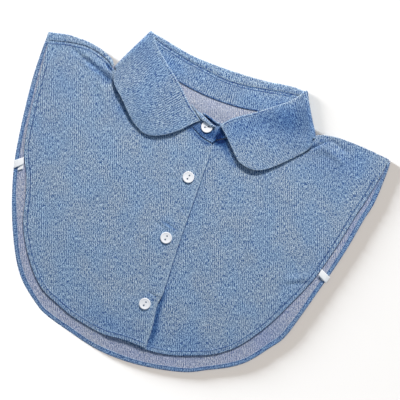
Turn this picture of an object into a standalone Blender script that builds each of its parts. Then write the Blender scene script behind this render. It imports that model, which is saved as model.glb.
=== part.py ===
"""Detachable shirt collar (dickey) of blue chambray, buttoned and laid flat, face up.

The garment rests on z = 0 with its collar toward +Y. Left and right in the names of
pieces are the wearer's, so the right front lies on the viewer's left, at -X.

From the surface upward the layers are:
  the hidden back half of the collar leaf, beside the back panel
  the back panel, which climbs over that hidden leaf near the neck
  the back panel's hem and the left front, side by side
  the right front, whose placket lies on the left front
  the collar stand, flattened into a ring that is folded at both sides of the neck
  the front halves of the collar leaf, rolled over the stand and down on to the fronts
  the buttons on the placket and the stand, and the two elastic straps at the sides

Every cloth piece is the middle surface of its wall, a grid of points, thickened to CLOTH.
"""

import bpy
import numpy as np

# Lengths are millimetres here and become metres when a mesh is made.
MM = 0.001
CLOTH = 1.0
SEAM = 0.35
LAYER = 1.5
FLOOR_LAYER = CLOTH / 2

# The outlines are measured from the point between the shoulders; this moves the middle
# of the whole outline to y = 0.
CENTRE_Y = 93.9

# Grid sizes: columns along an edge, rows across a panel.
BACK_COLUMNS = 49
FRONT_COLUMNS = 27
PANEL_ROWS = 14
PANEL_BIAS = 1.6
CURVE_STEPS = 30
COLLAR_FRONT_COLUMNS = 12
COLLAR_BACK_COLUMNS = 19
COLLAR_BEND = (60, 25, -25, -60)
LEAF_ROWS = 8
ROLL_TURN = (-54, -18, 18, 54)
STAND_ROWS = 5
CREASE_REACH = 3.0
CREASE_FADE = 0.3

# Back panel. Columns: x, y, along each edge.
BACK_TOP = (
    (-179.0, 26.5), (-170, 28.5), (-160, 30.4), (-150, 31), (-135, 30.3), (-120, 26.5),
    (-112, 21.5), (-108.8, 15.4), (-105, 15.2), (-99, 28.4), (-88, 30.4), (-78, 29.6), (-60, 27.4),
    (-42, 24.6), (-22, 21.7), (0, 20.6), (22, 21.4), (40, 24.2), (60, 27), (76, 28.7), (90, 28.2),
    (96.5, 17.6), (100, 15.4), (104.4, 16.4), (108, 23.5), (113, 26.3), (125, 27.8), (150, 27),
    (178.6, 24.2),
)
BACK_OUTER = (
    (-179.5, 12), (-178.9, -15), (-176.7, -40), (-173, -70), (-168, -100), (-160, -130),
    (-149, -160), (-134.5, -190), (-120.3, -210), (-100, -226.5), (-86, -234),
    (-60, -241.3), (-30, -248.3), (0, -249.8), (30, -246.8), (60, -240), (80, -230.5),
    (100, -220.2), (115, -208.5), (130, -189.5), (140, -175), (148, -150), (156, -120),
    (161.5, -100), (168.5, -70), (173.8, -40), (178, -20), (179.3, 11),
)
HEM_WIDTH = 4.5
HEM_WIDTH_AT_ENDS = 3.0
HEM_TAPER = 0.06

# Columns: x, y. The back panel's strip that comes over the left shoulder ends here.
SHOULDER_SEAM = ((-176.5, 20.4), (-165, 22.8), (-155, 25.2), (-140, 27), (-128, 25.6), (-116, 21.4))

# Front panels. Columns: x, y.
RIGHT_FRONT_TOP = (
    (-176.4, 19.6), (-165, 22.2), (-155, 24.6), (-140, 26.3), (-128, 25), (-116, 20.8),
    (-108.8, 14.2), (-105, 14), (-99, 26.8), (-89, 25.4), (-77, 18.2), (-53, 6.7), (-34, -2.8),
    (-22, -8.3), (-12, -14.4), (-2, -18.9), (9, -21.1),
)
RIGHT_FRONT_OUTER = (
    (-174.5, 4), (-172.3, -20), (-167.8, -60), (-162, -90), (-152.5, -110), (-145.8, -130),
    (-137.5, -160), (-119.5, -190), (-100.5, -210), (-80, -219.8), (-60, -226.8),
    (-30, -232), (-6, -230.4), (15.8, -231),
)
LEFT_FRONT_TOP = (
    (-19, -18.6), (-6, -18.9), (8, -17.6), (22, -9.9), (34, -3.8), (50, 5.3), (70, 16.2), (83, 23.2),
    (90.5, 26.4), (96, 16.6), (100, 14.4), (104.8, 15.2), (108.4, 22.4), (113, 25.4), (125, 27),
    (150, 26.2), (176.6, 23.6),
)
LEFT_FRONT_OUTER = (
    (-18, -231), (14, -232.4), (40, -229.2), (60, -222.5), (80, -214), (100, -198.5),
    (120, -170.5), (136, -138), (143, -122.5), (149.5, -105), (158.5, -70),
    (164.5, -40), (169.5, -20), (174.4, 6),
)
PLACKET_EDGE = (
    (9, -21.1), (10.4, -40), (11, -80), (11.8, -130), (13.6, -172), (12.2, -188), (14.8, -208), (15.8, -231),
)
UNDER_PLACKET_EDGE = ((-19, -18.6), (-18, -231))
PLACKET_STEP = (-32.0, -21.0)

# Soft creases of the fronts. Columns: x, y at each end, height, half width.
CREASES = (
    (-146, 15, -104, 2, 1.6, 7.0),
    (-118, 12, -112, -12, 0.9, 6.0),
    (108, 14, 140, 4, 1.3, 7.0),
    (146, -110, 118, -123, 1.1, 6.0),
    (-14, -104, 4, -113, 0.8, 4.0),
    (-70, -60, -84, -120, 0.7, 9.0),
    (60, -60, 84, -118, 0.7, 9.0),
)

# Collar leaf. Columns: x, y, and on the front folds the width of the part inside the fold.
RIGHT_FOLD = ((-10, -3, 1.5), (-15, 1, 1.6), (-25, 8, 2), (-40, 22.5, 3), (-60, 38.5, 3.8), (-74, 50.5, 4))
LEFT_FOLD = ((9.5, -0.5, 1.5), (20, 10.5, 2), (40, 24.5, 3), (60, 40, 3.8), (70, 49.4, 4))
BACK_FOLD = ((-72, 59.9), (-55, 56.5), (-35, 53.6), (0, 53), (35, 54.9), (55, 57.8), (66, 59))
RIGHT_LEAF_FRONT = ((-15, -8), (-25, -18.5), (-35, -26.5), (-45, -32), (-52, -34))
LEFT_LEAF_FRONT = ((15, -5.5), (20, -10), (30, -20), (38, -27.5), (45, -30.4), (52, -31.2))
RIGHT_LEAF_EDGE = ((-52, -34), (-58, -33.8), (-66, -30.4), (-75, -24), (-90, -9), (-100, 0), (-104.6, 8))
LEFT_LEAF_EDGE = ((52, -31.2), (58, -30.5), (66, -26.6), (75, -19.5), (90, -4.5), (97, 3.5), (100.4, 10))
HIDDEN_EDGE = (
    (-105, 16.5), (-90, 13), (-60, 12.5), (-30, 14), (0, 15.5), (30, 14), (60, 12.5), (88, 13), (99.6, 17.5),
)

# Where the collar folds at each side of the neck. Columns: x, y, from the top down.
RIGHT_SIDE = ((-86.3, 60), (-90, 52.6), (-95, 42.7), (-100, 32.5), (-104.6, 22.6), (-106.9, 17.2))
LEFT_SIDE = ((80.2, 56.6), (84.6, 48), (89.6, 39.4), (94.8, 31), (99.6, 23.6), (101.6, 18.6))
SEAM_AT_SIDE = 4.0
STAND_AT_SIDE = 29.0

# Heights of the middle of the wall: the leaf's roll and its highest part, and the tabs.
ROLL = 0.9
LEAF_LOFT = 0.4
LEAF_TOP = 7.0
LEAF_TOP_AT_LEFT_FRONT = 6.6
TOP_TAB = 3.7
UNDER_TAB = 2.1
STAND_RISE = (0.45, 0.85)
STAND_GAP = 0.6 + CLOTH / 2

# Collar stand. Columns: x, y.
RIGHT_STAND_TOP = ((8.2, -4.6), (2, -2.6), (-5, 0.4), (-10, 3.2), (-17, 4.0), (-26, 6.4))
RIGHT_STAND_FRONT = ((8.2, -4.6), (10.6, -7), (11.5, -11), (10.8, -16), (8.4, -20))
RIGHT_STAND_LOWER = (
    (8.4, -20), (-2, -17.8), (-12, -13.3), (-22, -7.2), (-34, -1.7), (-53, 7.8), (-77, 19.4), (-88, 27),
)
LEFT_STAND_TOP = ((-15, -1.5), (-9, 4), (0, 2.2), (8, 0.9), (15, 3.6), (22, 8.6))
LEFT_STAND_FRONT = ((-15, -1.5), (-17.4, -6), (-17.4, -12), (-15, -16))
LEFT_STAND_LOWER = (
    (-15, -16), (0, -17.6), (10, -15.9), (22, -8.8), (34, -2.7), (50, 6.4), (70, 17.4), (82, 24.4),
)
BACK_STAND_LOWER = (
    (-78, 31), (-60, 28.7), (-42, 25.9), (-22, 23), (0, 21.9), (22, 22.8), (40, 25.6), (60, 28.4), (76, 30.1),
)
BACK_SEAM = (
    (-72, 53.4), (-55, 49.8), (-40, 46.6), (-20, 43.6), (0, 42.6), (20, 43.6), (40, 46.4), (55, 49.4),
    (66, 51),
)

# The back panel climbs over the hidden leaf. Ranges: below its edge, and from the middle.
CLIMB_BELOW_EDGE = (15.0, 3.0)
CLIMB_FROM_MIDDLE = (124.0, 111.0)

# Buttons. Columns: name, x, y, turn of the holes in degrees.
BUTTONS = (
    ("button_1", -1.6, -7.6, 40),
    ("button_2", -2.0, -59.3, 60),
    ("button_3", -2.2, -122.5, 75),
    ("button_4", 0.3, -190.2, 75),
)
STAND_BUTTON = "button_1"
BUTTON_WIDTH = 11.4
HOLE_WIDTH = 1.7
HOLE_SPACING = 3.8
# Button's turned outline. Columns: share of the radius, height above its seat.
BUTTON_PROFILE = ((0.78, 0.0), (0.98, 0.7), (1.0, 1.5), (0.93, 2.1), (0.82, 2.2), (0.68, 1.6))
BUTTON_SIDES = 20
HOLE_SIDES = 8
HOLE_OVERRUN = 1.0

# Elastic straps. Columns: name, x and y of the outer end, x and y of the inner end.
STRAPS = (
    ("right_strap", -167.4, -104.0, -158.2, -99.4),
    ("left_strap", 160.6, -107.6, 150.4, -102.8),
)
STRAP_WIDTH = 6.3
STRAP_HEIGHT = 3.35
STRAP_ARCH = 0.4
STRAP_COLUMNS = 5

CHAMBRAY = ("chambray", (0.16, 0.29, 0.50), 0.85)
CHAMBRAY_INSIDE = ("chambray_inside", (0.36, 0.37, 0.48), 0.9)
BUTTON_WHITE = ("button_white", (0.86, 0.85, 0.84), 0.3)
ELASTIC_WHITE = ("elastic_white", (0.85, 0.85, 0.86), 0.8)


def clear_scene():
    for item in list(bpy.data.objects):
        bpy.data.objects.remove(item, do_unlink=True)


def ease(share):
    """Soft step from 0 to 1."""
    share = np.clip(share, 0, 1)
    return share * share * (3 - 2 * share)


def curve(rows, count, bias=1):
    """Smooth curve through the rows, read at `count` places along it, closer at its start if biased."""
    points = np.array(rows, float)
    knots = np.vstack([2 * points[0] - points[1], points, 2 * points[-1] - points[-2]])
    place = np.linspace(0, len(points) - 1, CURVE_STEPS * len(points))
    start = np.minimum(place.astype(int), len(points) - 2)
    part = (place - start)[:, None]
    a, b, c, d = (knots[start + step] for step in range(4))
    path = b + 0.5 * part * (c - a + part * (2 * a - 5 * b + 4 * c - d + part * (3 * b - a - 3 * c + d)))
    length = np.r_[0, np.cumsum(np.linalg.norm(np.diff(path, axis=0), axis=1))]
    spread = length[-1] * np.linspace(0, 1, count) ** bias
    return np.column_stack([np.interp(spread, length, axis) for axis in path.T])


def patch(top, bottom, start, end, bias=1):
    """Surface between four edges: top and bottom run alike, start and end run from top to bottom."""
    u = np.linspace(0, 1, len(top))[None, :, None]
    v = np.linspace(0, 1, len(start))[:, None, None] ** bias
    across = (1 - v) * top[None] + v * bottom[None]
    down = (1 - u) * start[:, None] + u * end[:, None]
    corners = (1 - v) * ((1 - u) * top[0] + u * top[-1]) + v * ((1 - u) * bottom[0] + u * bottom[-1])
    return across + down - corners


def across(points):
    """Unit directions at right angles to a plan curve, to the right of its run."""
    run = np.gradient(points, axis=0)
    side = np.column_stack([run[:, 1], -run[:, 0]])
    return side / np.linalg.norm(side, axis=1)[:, None]


def back_height(x, y):
    """Middle of the back panel's wall."""
    edge = np.array(HIDDEN_EDGE)
    above = y - np.interp(x, edge[:, 0], edge[:, 1])
    low, high = CLIMB_BELOW_EDGE
    far, near = CLIMB_FROM_MIDDLE
    climb = ease((above + low) / (low - high)) * ease((far - np.abs(x)) / (far - near))
    return FLOOR_LAYER + LAYER * climb


def creases(x, y):
    """Soft ridges: a bell across each crease that fades out at both of its ends."""
    height = np.zeros(np.shape(x))
    for x0, y0, x1, y1, top, half_width in CREASES:
        length = np.hypot(x1 - x0, y1 - y0)
        along = ((x - x0) * (x1 - x0) + (y - y0) * (y1 - y0)) / length
        off = ((x - x0) * (y1 - y0) - (y - y0) * (x1 - x0)) / length
        end = CREASE_FADE * length
        fade = ease(along / end) * ease((length - along) / end)
        height += top * fade * np.exp(-((off / half_width) ** 2) * CREASE_REACH)
    return height


def front_height(x, y):
    """Middle of the wall of a front that lies straight on the back panel."""
    return back_height(x, y) + LAYER + creases(x, y)


def right_front_height(x, y):
    """The right front, which also climbs on to the left front's placket."""
    low, high = PLACKET_STEP
    return front_height(x, y) + LAYER * ease((x - low) / (high - low))


def with_height(plan, height):
    """Plan points with a third number."""
    return np.dstack([plan, np.broadcast_to(height, plan.shape[:2])])


def material(look):
    name, colour, roughness = look
    if name in bpy.data.materials:
        return bpy.data.materials[name]
    made = bpy.data.materials.new(name)
    made.use_nodes = True
    shader = made.node_tree.nodes["Principled BSDF"]
    shader.inputs["Base Color"].default_value = (*colour, 1)
    shader.inputs["Roughness"].default_value = roughness
    shader.inputs["Metallic"].default_value = 0
    return made


def add_mesh(name, points, faces, look):
    """A named object from points in millimetres about the shoulder point."""
    moved = (np.array(points, float) + (0, CENTRE_Y, 0)) * MM
    mesh = bpy.data.meshes.new(name)
    mesh.from_pydata(moved.tolist(), [], faces)
    mesh.materials.append(material(look))
    made = bpy.data.objects.new(name, mesh)
    bpy.context.scene.collection.objects.link(made)
    return made


def grid_faces(rows, columns, first=0):
    return [
        (first + r * columns + c, first + (r + 1) * columns + c,
         first + (r + 1) * columns + c + 1, first + r * columns + c + 1)
        for r in range(rows - 1) for c in range(columns - 1)
    ]


def cloth(name, grids, look):
    """Thickens grids of middle points into one wall. Grids that share an edge are joined there."""
    points = []
    faces = []
    for grid in grids:
        rows, columns = grid.shape[:2]
        faces += grid_faces(rows, columns, len(points))
        points += grid.reshape(-1, 3).tolist()
    made = add_mesh(name, points, faces, look)
    join = made.modifiers.new("join", "WELD")
    join.merge_threshold = 0.00002
    wall = made.modifiers.new("wall", "SOLIDIFY")
    wall.thickness = CLOTH * MM
    wall.offset = 0
    for face in made.data.polygons:
        face.use_smooth = True
    return made


def add_back_panel():
    """The main panel, and the strip that turns over the left shoulder fold."""
    top = curve(BACK_TOP, BACK_COLUMNS)
    outer = curve(BACK_OUTER, BACK_COLUMNS)
    start = curve((top[0], outer[0]), PANEL_ROWS, PANEL_BIAS)
    end = curve((top[-1], outer[-1]), PANEL_ROWS, PANEL_BIAS)
    plan = patch(top, outer, start, end, PANEL_BIAS)
    main = with_height(plan, back_height(plan[..., 0], plan[..., 1]))
    seam = np.array(SHOULDER_SEAM)
    fold = top[(top[:, 0] >= seam[0, 0]) & (top[:, 0] <= seam[-1, 0])]
    seam_y = np.interp(fold[:, 0], seam[:, 0], seam[:, 1])
    low = back_height(fold[:, 0], fold[:, 1])
    rows = [np.column_stack([fold, low])]
    for turn in np.radians((-45, 0, 45, 90)):
        out = np.cos(turn) * LAYER / 2
        rows.append(np.column_stack([fold[:, 0], fold[:, 1] + out, low + LAYER / 2 * (1 + np.sin(turn))]))
    upper = front_height(fold[:, 0], seam_y)
    rows.append(np.column_stack([fold[:, 0], seam_y, upper]))
    return cloth("back_panel", (main, np.array(rows[::-1])), CHAMBRAY_INSIDE)


def add_back_hem():
    """A strip along the outer edge, made from the panel's own edge points."""
    outer = curve(BACK_OUTER, BACK_COLUMNS)
    share = np.linspace(0, 1, BACK_COLUMNS)
    full = ease(np.minimum(share, 1 - share) / HEM_TAPER)
    width = HEM_WIDTH_AT_ENDS + (HEM_WIDTH - HEM_WIDTH_AT_ENDS) * full
    inner = outer - across(outer) * width[:, None]
    plan = np.array([inner, outer])
    height = back_height(outer[:, 0], outer[:, 1]) + CLOTH + SEAM
    return cloth("back_hem", (with_height(plan, height),), CHAMBRAY)


def add_right_front():
    top = curve(RIGHT_FRONT_TOP, FRONT_COLUMNS)
    outer = curve(RIGHT_FRONT_OUTER, FRONT_COLUMNS)
    armhole = curve((top[0], outer[0]), PANEL_ROWS, PANEL_BIAS)
    placket = curve(PLACKET_EDGE, PANEL_ROWS, PANEL_BIAS)
    plan = patch(top, outer, armhole, placket, PANEL_BIAS)
    height = right_front_height(plan[..., 0], plan[..., 1])
    return cloth("right_front", (with_height(plan, height),), CHAMBRAY)


def add_left_front():
    top = curve(LEFT_FRONT_TOP, FRONT_COLUMNS)
    outer = curve(LEFT_FRONT_OUTER, FRONT_COLUMNS)
    placket = curve(UNDER_PLACKET_EDGE, PANEL_ROWS, PANEL_BIAS)
    armhole = curve((top[-1], outer[-1]), PANEL_ROWS, PANEL_BIAS)
    plan = patch(top, outer, placket, armhole, PANEL_BIAS)
    height = front_height(plan[..., 0], plan[..., 1])
    return cloth("left_front", (with_height(plan, height),), CHAMBRAY)


class NeckSide:
    """One side of the neck, where the collar folds from its front half to its back half.

    The leaf goes round in half circles whose middles make a line down the side, and the
    stand goes round inside it, about the same line.
    """

    def __init__(self, rows):
        line = curve(rows, LEAF_ROWS)
        self.up = (line[0] - line[-1]) / np.linalg.norm(line[0] - line[-1])
        self.out = np.array((self.up[1], -self.up[0])) * np.sign(line[0, 0])
        edge_height = front_height(*line[-1]) + LAYER + LEAF_LOFT
        self.leaf_heights = leaf_height(edge_height, LEAF_TOP, np.linspace(0, 1, LEAF_ROWS))
        self.middles = line - ((self.leaf_heights - FLOOR_LAYER) / 2)[:, None] * self.out

    def below(self, distance):
        """Plan point on the line of middles, this far down from the fold."""
        return self.middles[0] - distance * self.up

    def bend(self, places, front, back):
        """Half circles from the front height to the back height of each place, a column an angle."""
        radius = (front - back) / 2
        columns = []
        for turn in np.radians(COLLAR_BEND):
            plan = places + (radius * np.cos(turn))[:, None] * self.out
            columns.append(np.column_stack([plan, (front + back) / 2 + radius * np.sin(turn)]))
        return np.array(columns).swapaxes(0, 1)


def leaf_height(edge, top, share):
    """The leaf leaves its fold level and falls to its edge."""
    return edge + (top - edge) * (1 - share**2)


def beside(rows, distance):
    """Plan points at a distance from a fold line, on the side where the leaf lies."""
    line = np.array(rows, float)[:, :2]
    return line + across(line) * np.sign(line[-1, 0]) * np.reshape(distance, (-1, 1))


def ring(fronts, bends, back):
    """Right front, right side, back, left side and left front as one band of columns."""
    return np.hstack([fronts[0], bends[0], back, bends[1][:, ::-1], fronts[1][:, ::-1]])


def leaf_front(side, fold, front_edge, lower_edge, corner_top, under):
    """Outer limb and inner limb of one front half, columns from the front corner to the side."""
    fold_line = np.vstack([beside(fold, ROLL + CLOTH / 2), side.middles[0]])
    rolled = curve(fold_line, COLLAR_FRONT_COLUMNS)
    lower = curve(np.vstack([lower_edge, side.middles[-1]]), COLLAR_FRONT_COLUMNS)
    start = curve(np.vstack([rolled[0], front_edge]), LEAF_ROWS)
    plan = patch(rolled, lower, start, side.middles)
    top = np.linspace(corner_top, LEAF_TOP, COLLAR_FRONT_COLUMNS)
    rest = under(lower[:, 0], lower[:, 1]) + LAYER + LEAF_LOFT
    height = leaf_height(rest, top, np.linspace(0, 1, LEAF_ROWS)[:, None])
    height = np.maximum(height, under(plan[..., 0], plan[..., 1]) + LAYER + LEAF_LOFT)
    height[:, -1] = side.leaf_heights
    seam = np.vstack([beside(fold, ROLL + CLOTH / 2 + np.array(fold)[:, 2]), side.below(SEAM_AT_SIDE)])
    inner = np.array([curve(seam, COLLAR_FRONT_COLUMNS), rolled])
    return with_height(plan, height), with_height(inner, top - 2 * ROLL)


def leaf_bends(side):
    """Outer and inner limb round the side of the neck."""
    outer = side.bend(side.middles, side.leaf_heights, np.full(LEAF_ROWS, FLOOR_LAYER))
    places = np.array([side.below(SEAM_AT_SIDE), side.middles[0]])
    inner = side.bend(places, np.full(2, LEAF_TOP - 2 * ROLL), np.full(2, FLOOR_LAYER + 2 * ROLL))
    return outer, inner


def leaf_back(right, left):
    """Outer limb on the surface, under the back panel, and inner limb above it."""
    fold = np.array(BACK_FOLD) - (0, ROLL + CLOTH / 2)
    fold = curve(np.vstack([right.middles[0], fold, left.middles[0]]), COLLAR_BACK_COLUMNS)
    hidden = np.array(HIDDEN_EDGE)[1:-1]
    hidden = curve(np.vstack([right.middles[-1], hidden, left.middles[-1]]), COLLAR_BACK_COLUMNS)
    plan = patch(fold, hidden, right.middles, left.middles)
    seam = np.vstack([right.below(SEAM_AT_SIDE), BACK_SEAM, left.below(SEAM_AT_SIDE)])
    inner = np.array([curve(seam, COLLAR_BACK_COLUMNS), fold])
    return with_height(plan, FLOOR_LAYER), with_height(inner, FLOOR_LAYER + 2 * ROLL)


def rolled_over(outer, inner):
    """Rows of the half circle that joins the inner limb's last row to the outer limb's first."""
    middle = (outer[0] + inner[-1]) / 2
    half = (outer[0] - inner[-1]) / 2
    radius = np.linalg.norm(half, axis=1)[:, None]
    away = outer[0] - outer[1]
    away -= half * (away * half).sum(axis=1)[:, None] / radius**2
    away /= np.linalg.norm(away, axis=1)[:, None]
    return np.array([middle + radius * away * np.cos(t) + half * np.sin(t) for t in np.radians(ROLL_TURN)])


def add_collar_leaf(right, left):
    """Rows run from the stand's seam, over the roll and out to the leaf's edge."""
    fronts = (
        leaf_front(right, RIGHT_FOLD, RIGHT_LEAF_FRONT, RIGHT_LEAF_EDGE, LEAF_TOP, right_front_height),
        leaf_front(left, LEFT_FOLD, LEFT_LEAF_FRONT, LEFT_LEAF_EDGE, LEAF_TOP_AT_LEFT_FRONT, front_height),
    )
    bends = (leaf_bends(right), leaf_bends(left))
    back = leaf_back(right, left)
    outer, inner = (ring([f[k] for f in fronts], [b[k] for b in bends], back[k]) for k in (0, 1))
    return cloth("collar_leaf", (np.vstack([inner, rolled_over(outer, inner), outer]),), CHAMBRAY)


def stand_front(side, fold, first, top_rows, front_edge, lower_rows, tab_height, under):
    """One front half of the stand, columns from its tab to the side of the neck."""
    seam = beside(fold, ROLL + CLOTH / 2 + np.array(fold)[:, 2] + STAND_GAP)[first:]
    top = curve(np.vstack([top_rows, seam, side.below(SEAM_AT_SIDE + STAND_GAP)]), COLLAR_FRONT_COLUMNS)
    lower = curve(np.vstack([lower_rows, side.below(STAND_AT_SIDE)]), COLLAR_FRONT_COLUMNS)
    start = curve(front_edge, STAND_ROWS)
    end = curve((top[-1], lower[-1]), STAND_ROWS)
    plan = patch(top, lower, start, end)
    along = np.linspace(0, 1, COLLAR_FRONT_COLUMNS)
    low, high = STAND_RISE
    top_height = tab_height + (LEAF_TOP - 2 * ROLL - tab_height) * ease((along - low) / (high - low))
    lower_height = under(lower[:, 0], lower[:, 1])
    share = np.linspace(0, 1, STAND_ROWS)[:, None]
    height = top_height + (lower_height - top_height) * share
    return with_height(plan, np.maximum(height, back_height(plan[..., 0], plan[..., 1]) + LAYER))


def add_collar_stand(right, left):
    """Rows run from the leaf's seam down to the neck seam."""
    fronts = (
        stand_front(right, RIGHT_FOLD, 3, RIGHT_STAND_TOP, RIGHT_STAND_FRONT, RIGHT_STAND_LOWER,
                    TOP_TAB, right_front_height),
        stand_front(left, LEFT_FOLD, 2, LEFT_STAND_TOP, LEFT_STAND_FRONT, LEFT_STAND_LOWER,
                    UNDER_TAB, front_height),
    )
    share = np.linspace(0, 1, STAND_ROWS)
    back_top = FLOOR_LAYER + 2 * ROLL
    back_low = FLOOR_LAYER + LAYER
    bends = []
    for side, front in zip((right, left), fronts):
        places = np.linspace(side.below(SEAM_AT_SIDE + STAND_GAP), side.below(STAND_AT_SIDE), STAND_ROWS)
        bends.append(side.bend(places, front[:, -1, 2], back_top + (back_low - back_top) * share))
    seam = np.array(BACK_SEAM) - (0, STAND_GAP)
    drop = SEAM_AT_SIDE + STAND_GAP
    top = curve(np.vstack([right.below(drop), seam, left.below(drop)]), COLLAR_BACK_COLUMNS)
    low = np.vstack([right.below(STAND_AT_SIDE), BACK_STAND_LOWER, left.below(STAND_AT_SIDE)])
    low = curve(low, COLLAR_BACK_COLUMNS)
    plan = patch(top, low, curve((top[0], low[0]), STAND_ROWS), curve((top[-1], low[-1]), STAND_ROWS))
    height = back_top + (back_low - back_top) * share[:, None]
    return cloth("collar_stand", (ring(fronts, bends, with_height(plan, height)),), CHAMBRAY)


def turned(name, place, profile, sides, look):
    """A solid of revolution about a vertical line, closed by flat fans at both ends."""
    angle = np.arange(sides) * 2 * np.pi / sides
    rows = [np.column_stack([r * np.cos(angle), r * np.sin(angle), np.full(sides, z)]) for r, z in profile]
    points = np.vstack(rows) + place
    faces = [
        (r * sides + c, r * sides + (c + 1) % sides, (r + 1) * sides + (c + 1) % sides, (r + 1) * sides + c)
        for r in range(len(profile) - 1) for c in range(sides)
    ]
    faces.append(tuple(reversed(range(sides))))
    faces.append(tuple(range((len(profile) - 1) * sides, len(profile) * sides)))
    return add_mesh(name, points, faces, look)


def add_button(name, x, y, turn):
    """A turned disc with a raised rim, and two holes cut through it."""
    on_stand = name == STAND_BUTTON
    cloth_middle = TOP_TAB if on_stand else right_front_height(x, y)
    seat = float(cloth_middle) + CLOTH / 2 + SEAM
    radius = BUTTON_WIDTH / 2
    outline = [(radius * r, z) for r, z in BUTTON_PROFILE]
    button = turned(name, (x, y, seat), outline, BUTTON_SIDES, BUTTON_WHITE)
    direction = np.array((np.cos(np.radians(turn)), np.sin(np.radians(turn))))
    for number, way in enumerate((-1, 1)):
        place = np.array((x, y)) + direction * way * HOLE_SPACING / 2
        rod = [(HOLE_WIDTH / 2, -HOLE_OVERRUN), (HOLE_WIDTH / 2, BUTTON_PROFILE[-1][1] + HOLE_OVERRUN)]
        cutter = turned(f"{name}_hole_{number}", (*place, seat), rod, HOLE_SIDES, BUTTON_WHITE)
        cutter.hide_render = True
        cutter.display_type = "WIRE"
        cut = button.modifiers.new("hole", "BOOLEAN")
        cut.object = cutter


def add_strap(name, outer_x, outer_y, inner_x, inner_y):
    """A flat band of elastic that bridges from the back's hem to the front's edge."""
    ends = np.array(((outer_x, outer_y), (inner_x, inner_y)))
    side = across(ends) * STRAP_WIDTH / 2
    plan = np.array([np.linspace(*(ends - side), STRAP_COLUMNS), np.linspace(*(ends + side), STRAP_COLUMNS)])
    height = STRAP_HEIGHT + STRAP_ARCH * np.sin(np.linspace(0, np.pi, STRAP_COLUMNS))
    return cloth(name, (with_height(plan, height),), ELASTIC_WHITE)


def main():
    clear_scene()
    add_back_panel()
    add_back_hem()
    add_right_front()
    add_left_front()
    right = NeckSide(RIGHT_SIDE)
    left = NeckSide(LEFT_SIDE)
    add_collar_stand(right, left)
    add_collar_leaf(right, left)
    for row in BUTTONS:
        add_button(*row)
    for row in STRAPS:
        add_strap(*row)


if __name__ == "__main__":
    main()
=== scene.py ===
"""Looks of the detachable chambray collar: cloth, stitching, buttons and side elastic.

Lengths in the tables are millimetres from the point between the shoulders, with x to the
viewer's right and y to the collar. Left and right are the wearer's, so the right front is
at -x. Every cloth is a middle surface on a grid, closed into a thin wall with round edges.
"""

import bpy
import numpy as np
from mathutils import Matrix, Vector


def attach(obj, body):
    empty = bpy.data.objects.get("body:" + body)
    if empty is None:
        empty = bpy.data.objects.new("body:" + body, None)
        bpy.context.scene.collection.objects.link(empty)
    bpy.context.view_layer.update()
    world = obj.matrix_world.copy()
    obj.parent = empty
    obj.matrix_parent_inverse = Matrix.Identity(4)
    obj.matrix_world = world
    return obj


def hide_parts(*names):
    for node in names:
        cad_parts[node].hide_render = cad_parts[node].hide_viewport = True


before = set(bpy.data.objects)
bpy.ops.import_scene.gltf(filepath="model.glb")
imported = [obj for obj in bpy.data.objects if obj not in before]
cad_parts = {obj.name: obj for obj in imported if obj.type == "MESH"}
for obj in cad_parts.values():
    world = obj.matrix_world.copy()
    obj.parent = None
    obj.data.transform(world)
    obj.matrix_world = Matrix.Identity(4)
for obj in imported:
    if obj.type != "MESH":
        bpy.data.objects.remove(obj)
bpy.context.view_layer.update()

bl_info = {
    "name": "Chambray collar",
    "version": (1, 0, 0),
    "blender": (4, 5, 0),
    "location": "3D View > Sidebar > Collar",
    "description": "Builds the cloth, stitching, buttons and elastic of a detachable shirt collar",
    "category": "Object",
}

MM = 0.001
CENTRE_Y = 93.9
LAYER = 1.5
FLOOR_LAYER = 0.5

# Distances from a cut edge, in millimetres, and the share of the wall's thickness there.
EDGE_STEPS = (0.0, 0.06, 0.2, 0.45)
EDGE_ROUND = (0.0, 0.5, 0.83, 1.0)

BACK_TOP = (
    (-179.3, 26.5), (-170, 28.5), (-160, 30.6), (-150, 31), (-140, 30.8), (-130, 29.5),
    (-120, 26.6), (-115, 24.3), (-111.8, 22.6), (-109.6, 20.2), (-107.8, 18.5),
    (-104.8, 17.6), (-102.6, 19.4), (-99, 28.6), (-88, 31.2), (-78, 30.7), (-60, 28.5),
    (-42, 25.7), (-22, 22.8), (0, 21.7), (22, 22.5), (40, 25.3), (60, 28.1), (76, 29.8),
    (90, 29), (96.5, 17.8), (98.4, 17.0), (99.6, 17.6), (100.4, 19.2), (100.9, 21.0),
    (101.9, 22.4), (104.8, 23.4), (113, 25.6), (125, 27.1), (150, 26.2), (178.6, 23.3),
)
BACK_OUTER = (
    (-179.5, 12), (-178.9, -15), (-176.7, -40), (-173, -70), (-168, -100), (-160, -130),
    (-149, -160), (-134.5, -190), (-120.3, -210), (-100, -226.5), (-86, -234),
    (-60, -241.3), (-30, -248.3), (0, -249.8), (30, -246.8), (60, -240), (80, -230.5),
    (100, -220.2), (115, -208.5), (130, -189.5), (140, -175), (148, -150), (156, -120),
    (161.5, -100), (168.5, -70), (173.8, -40), (178, -20), (179.3, 11),
)
HEM_PATH = ((-179.2, 21.2), *BACK_OUTER, (179.0, 21.6))
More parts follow.
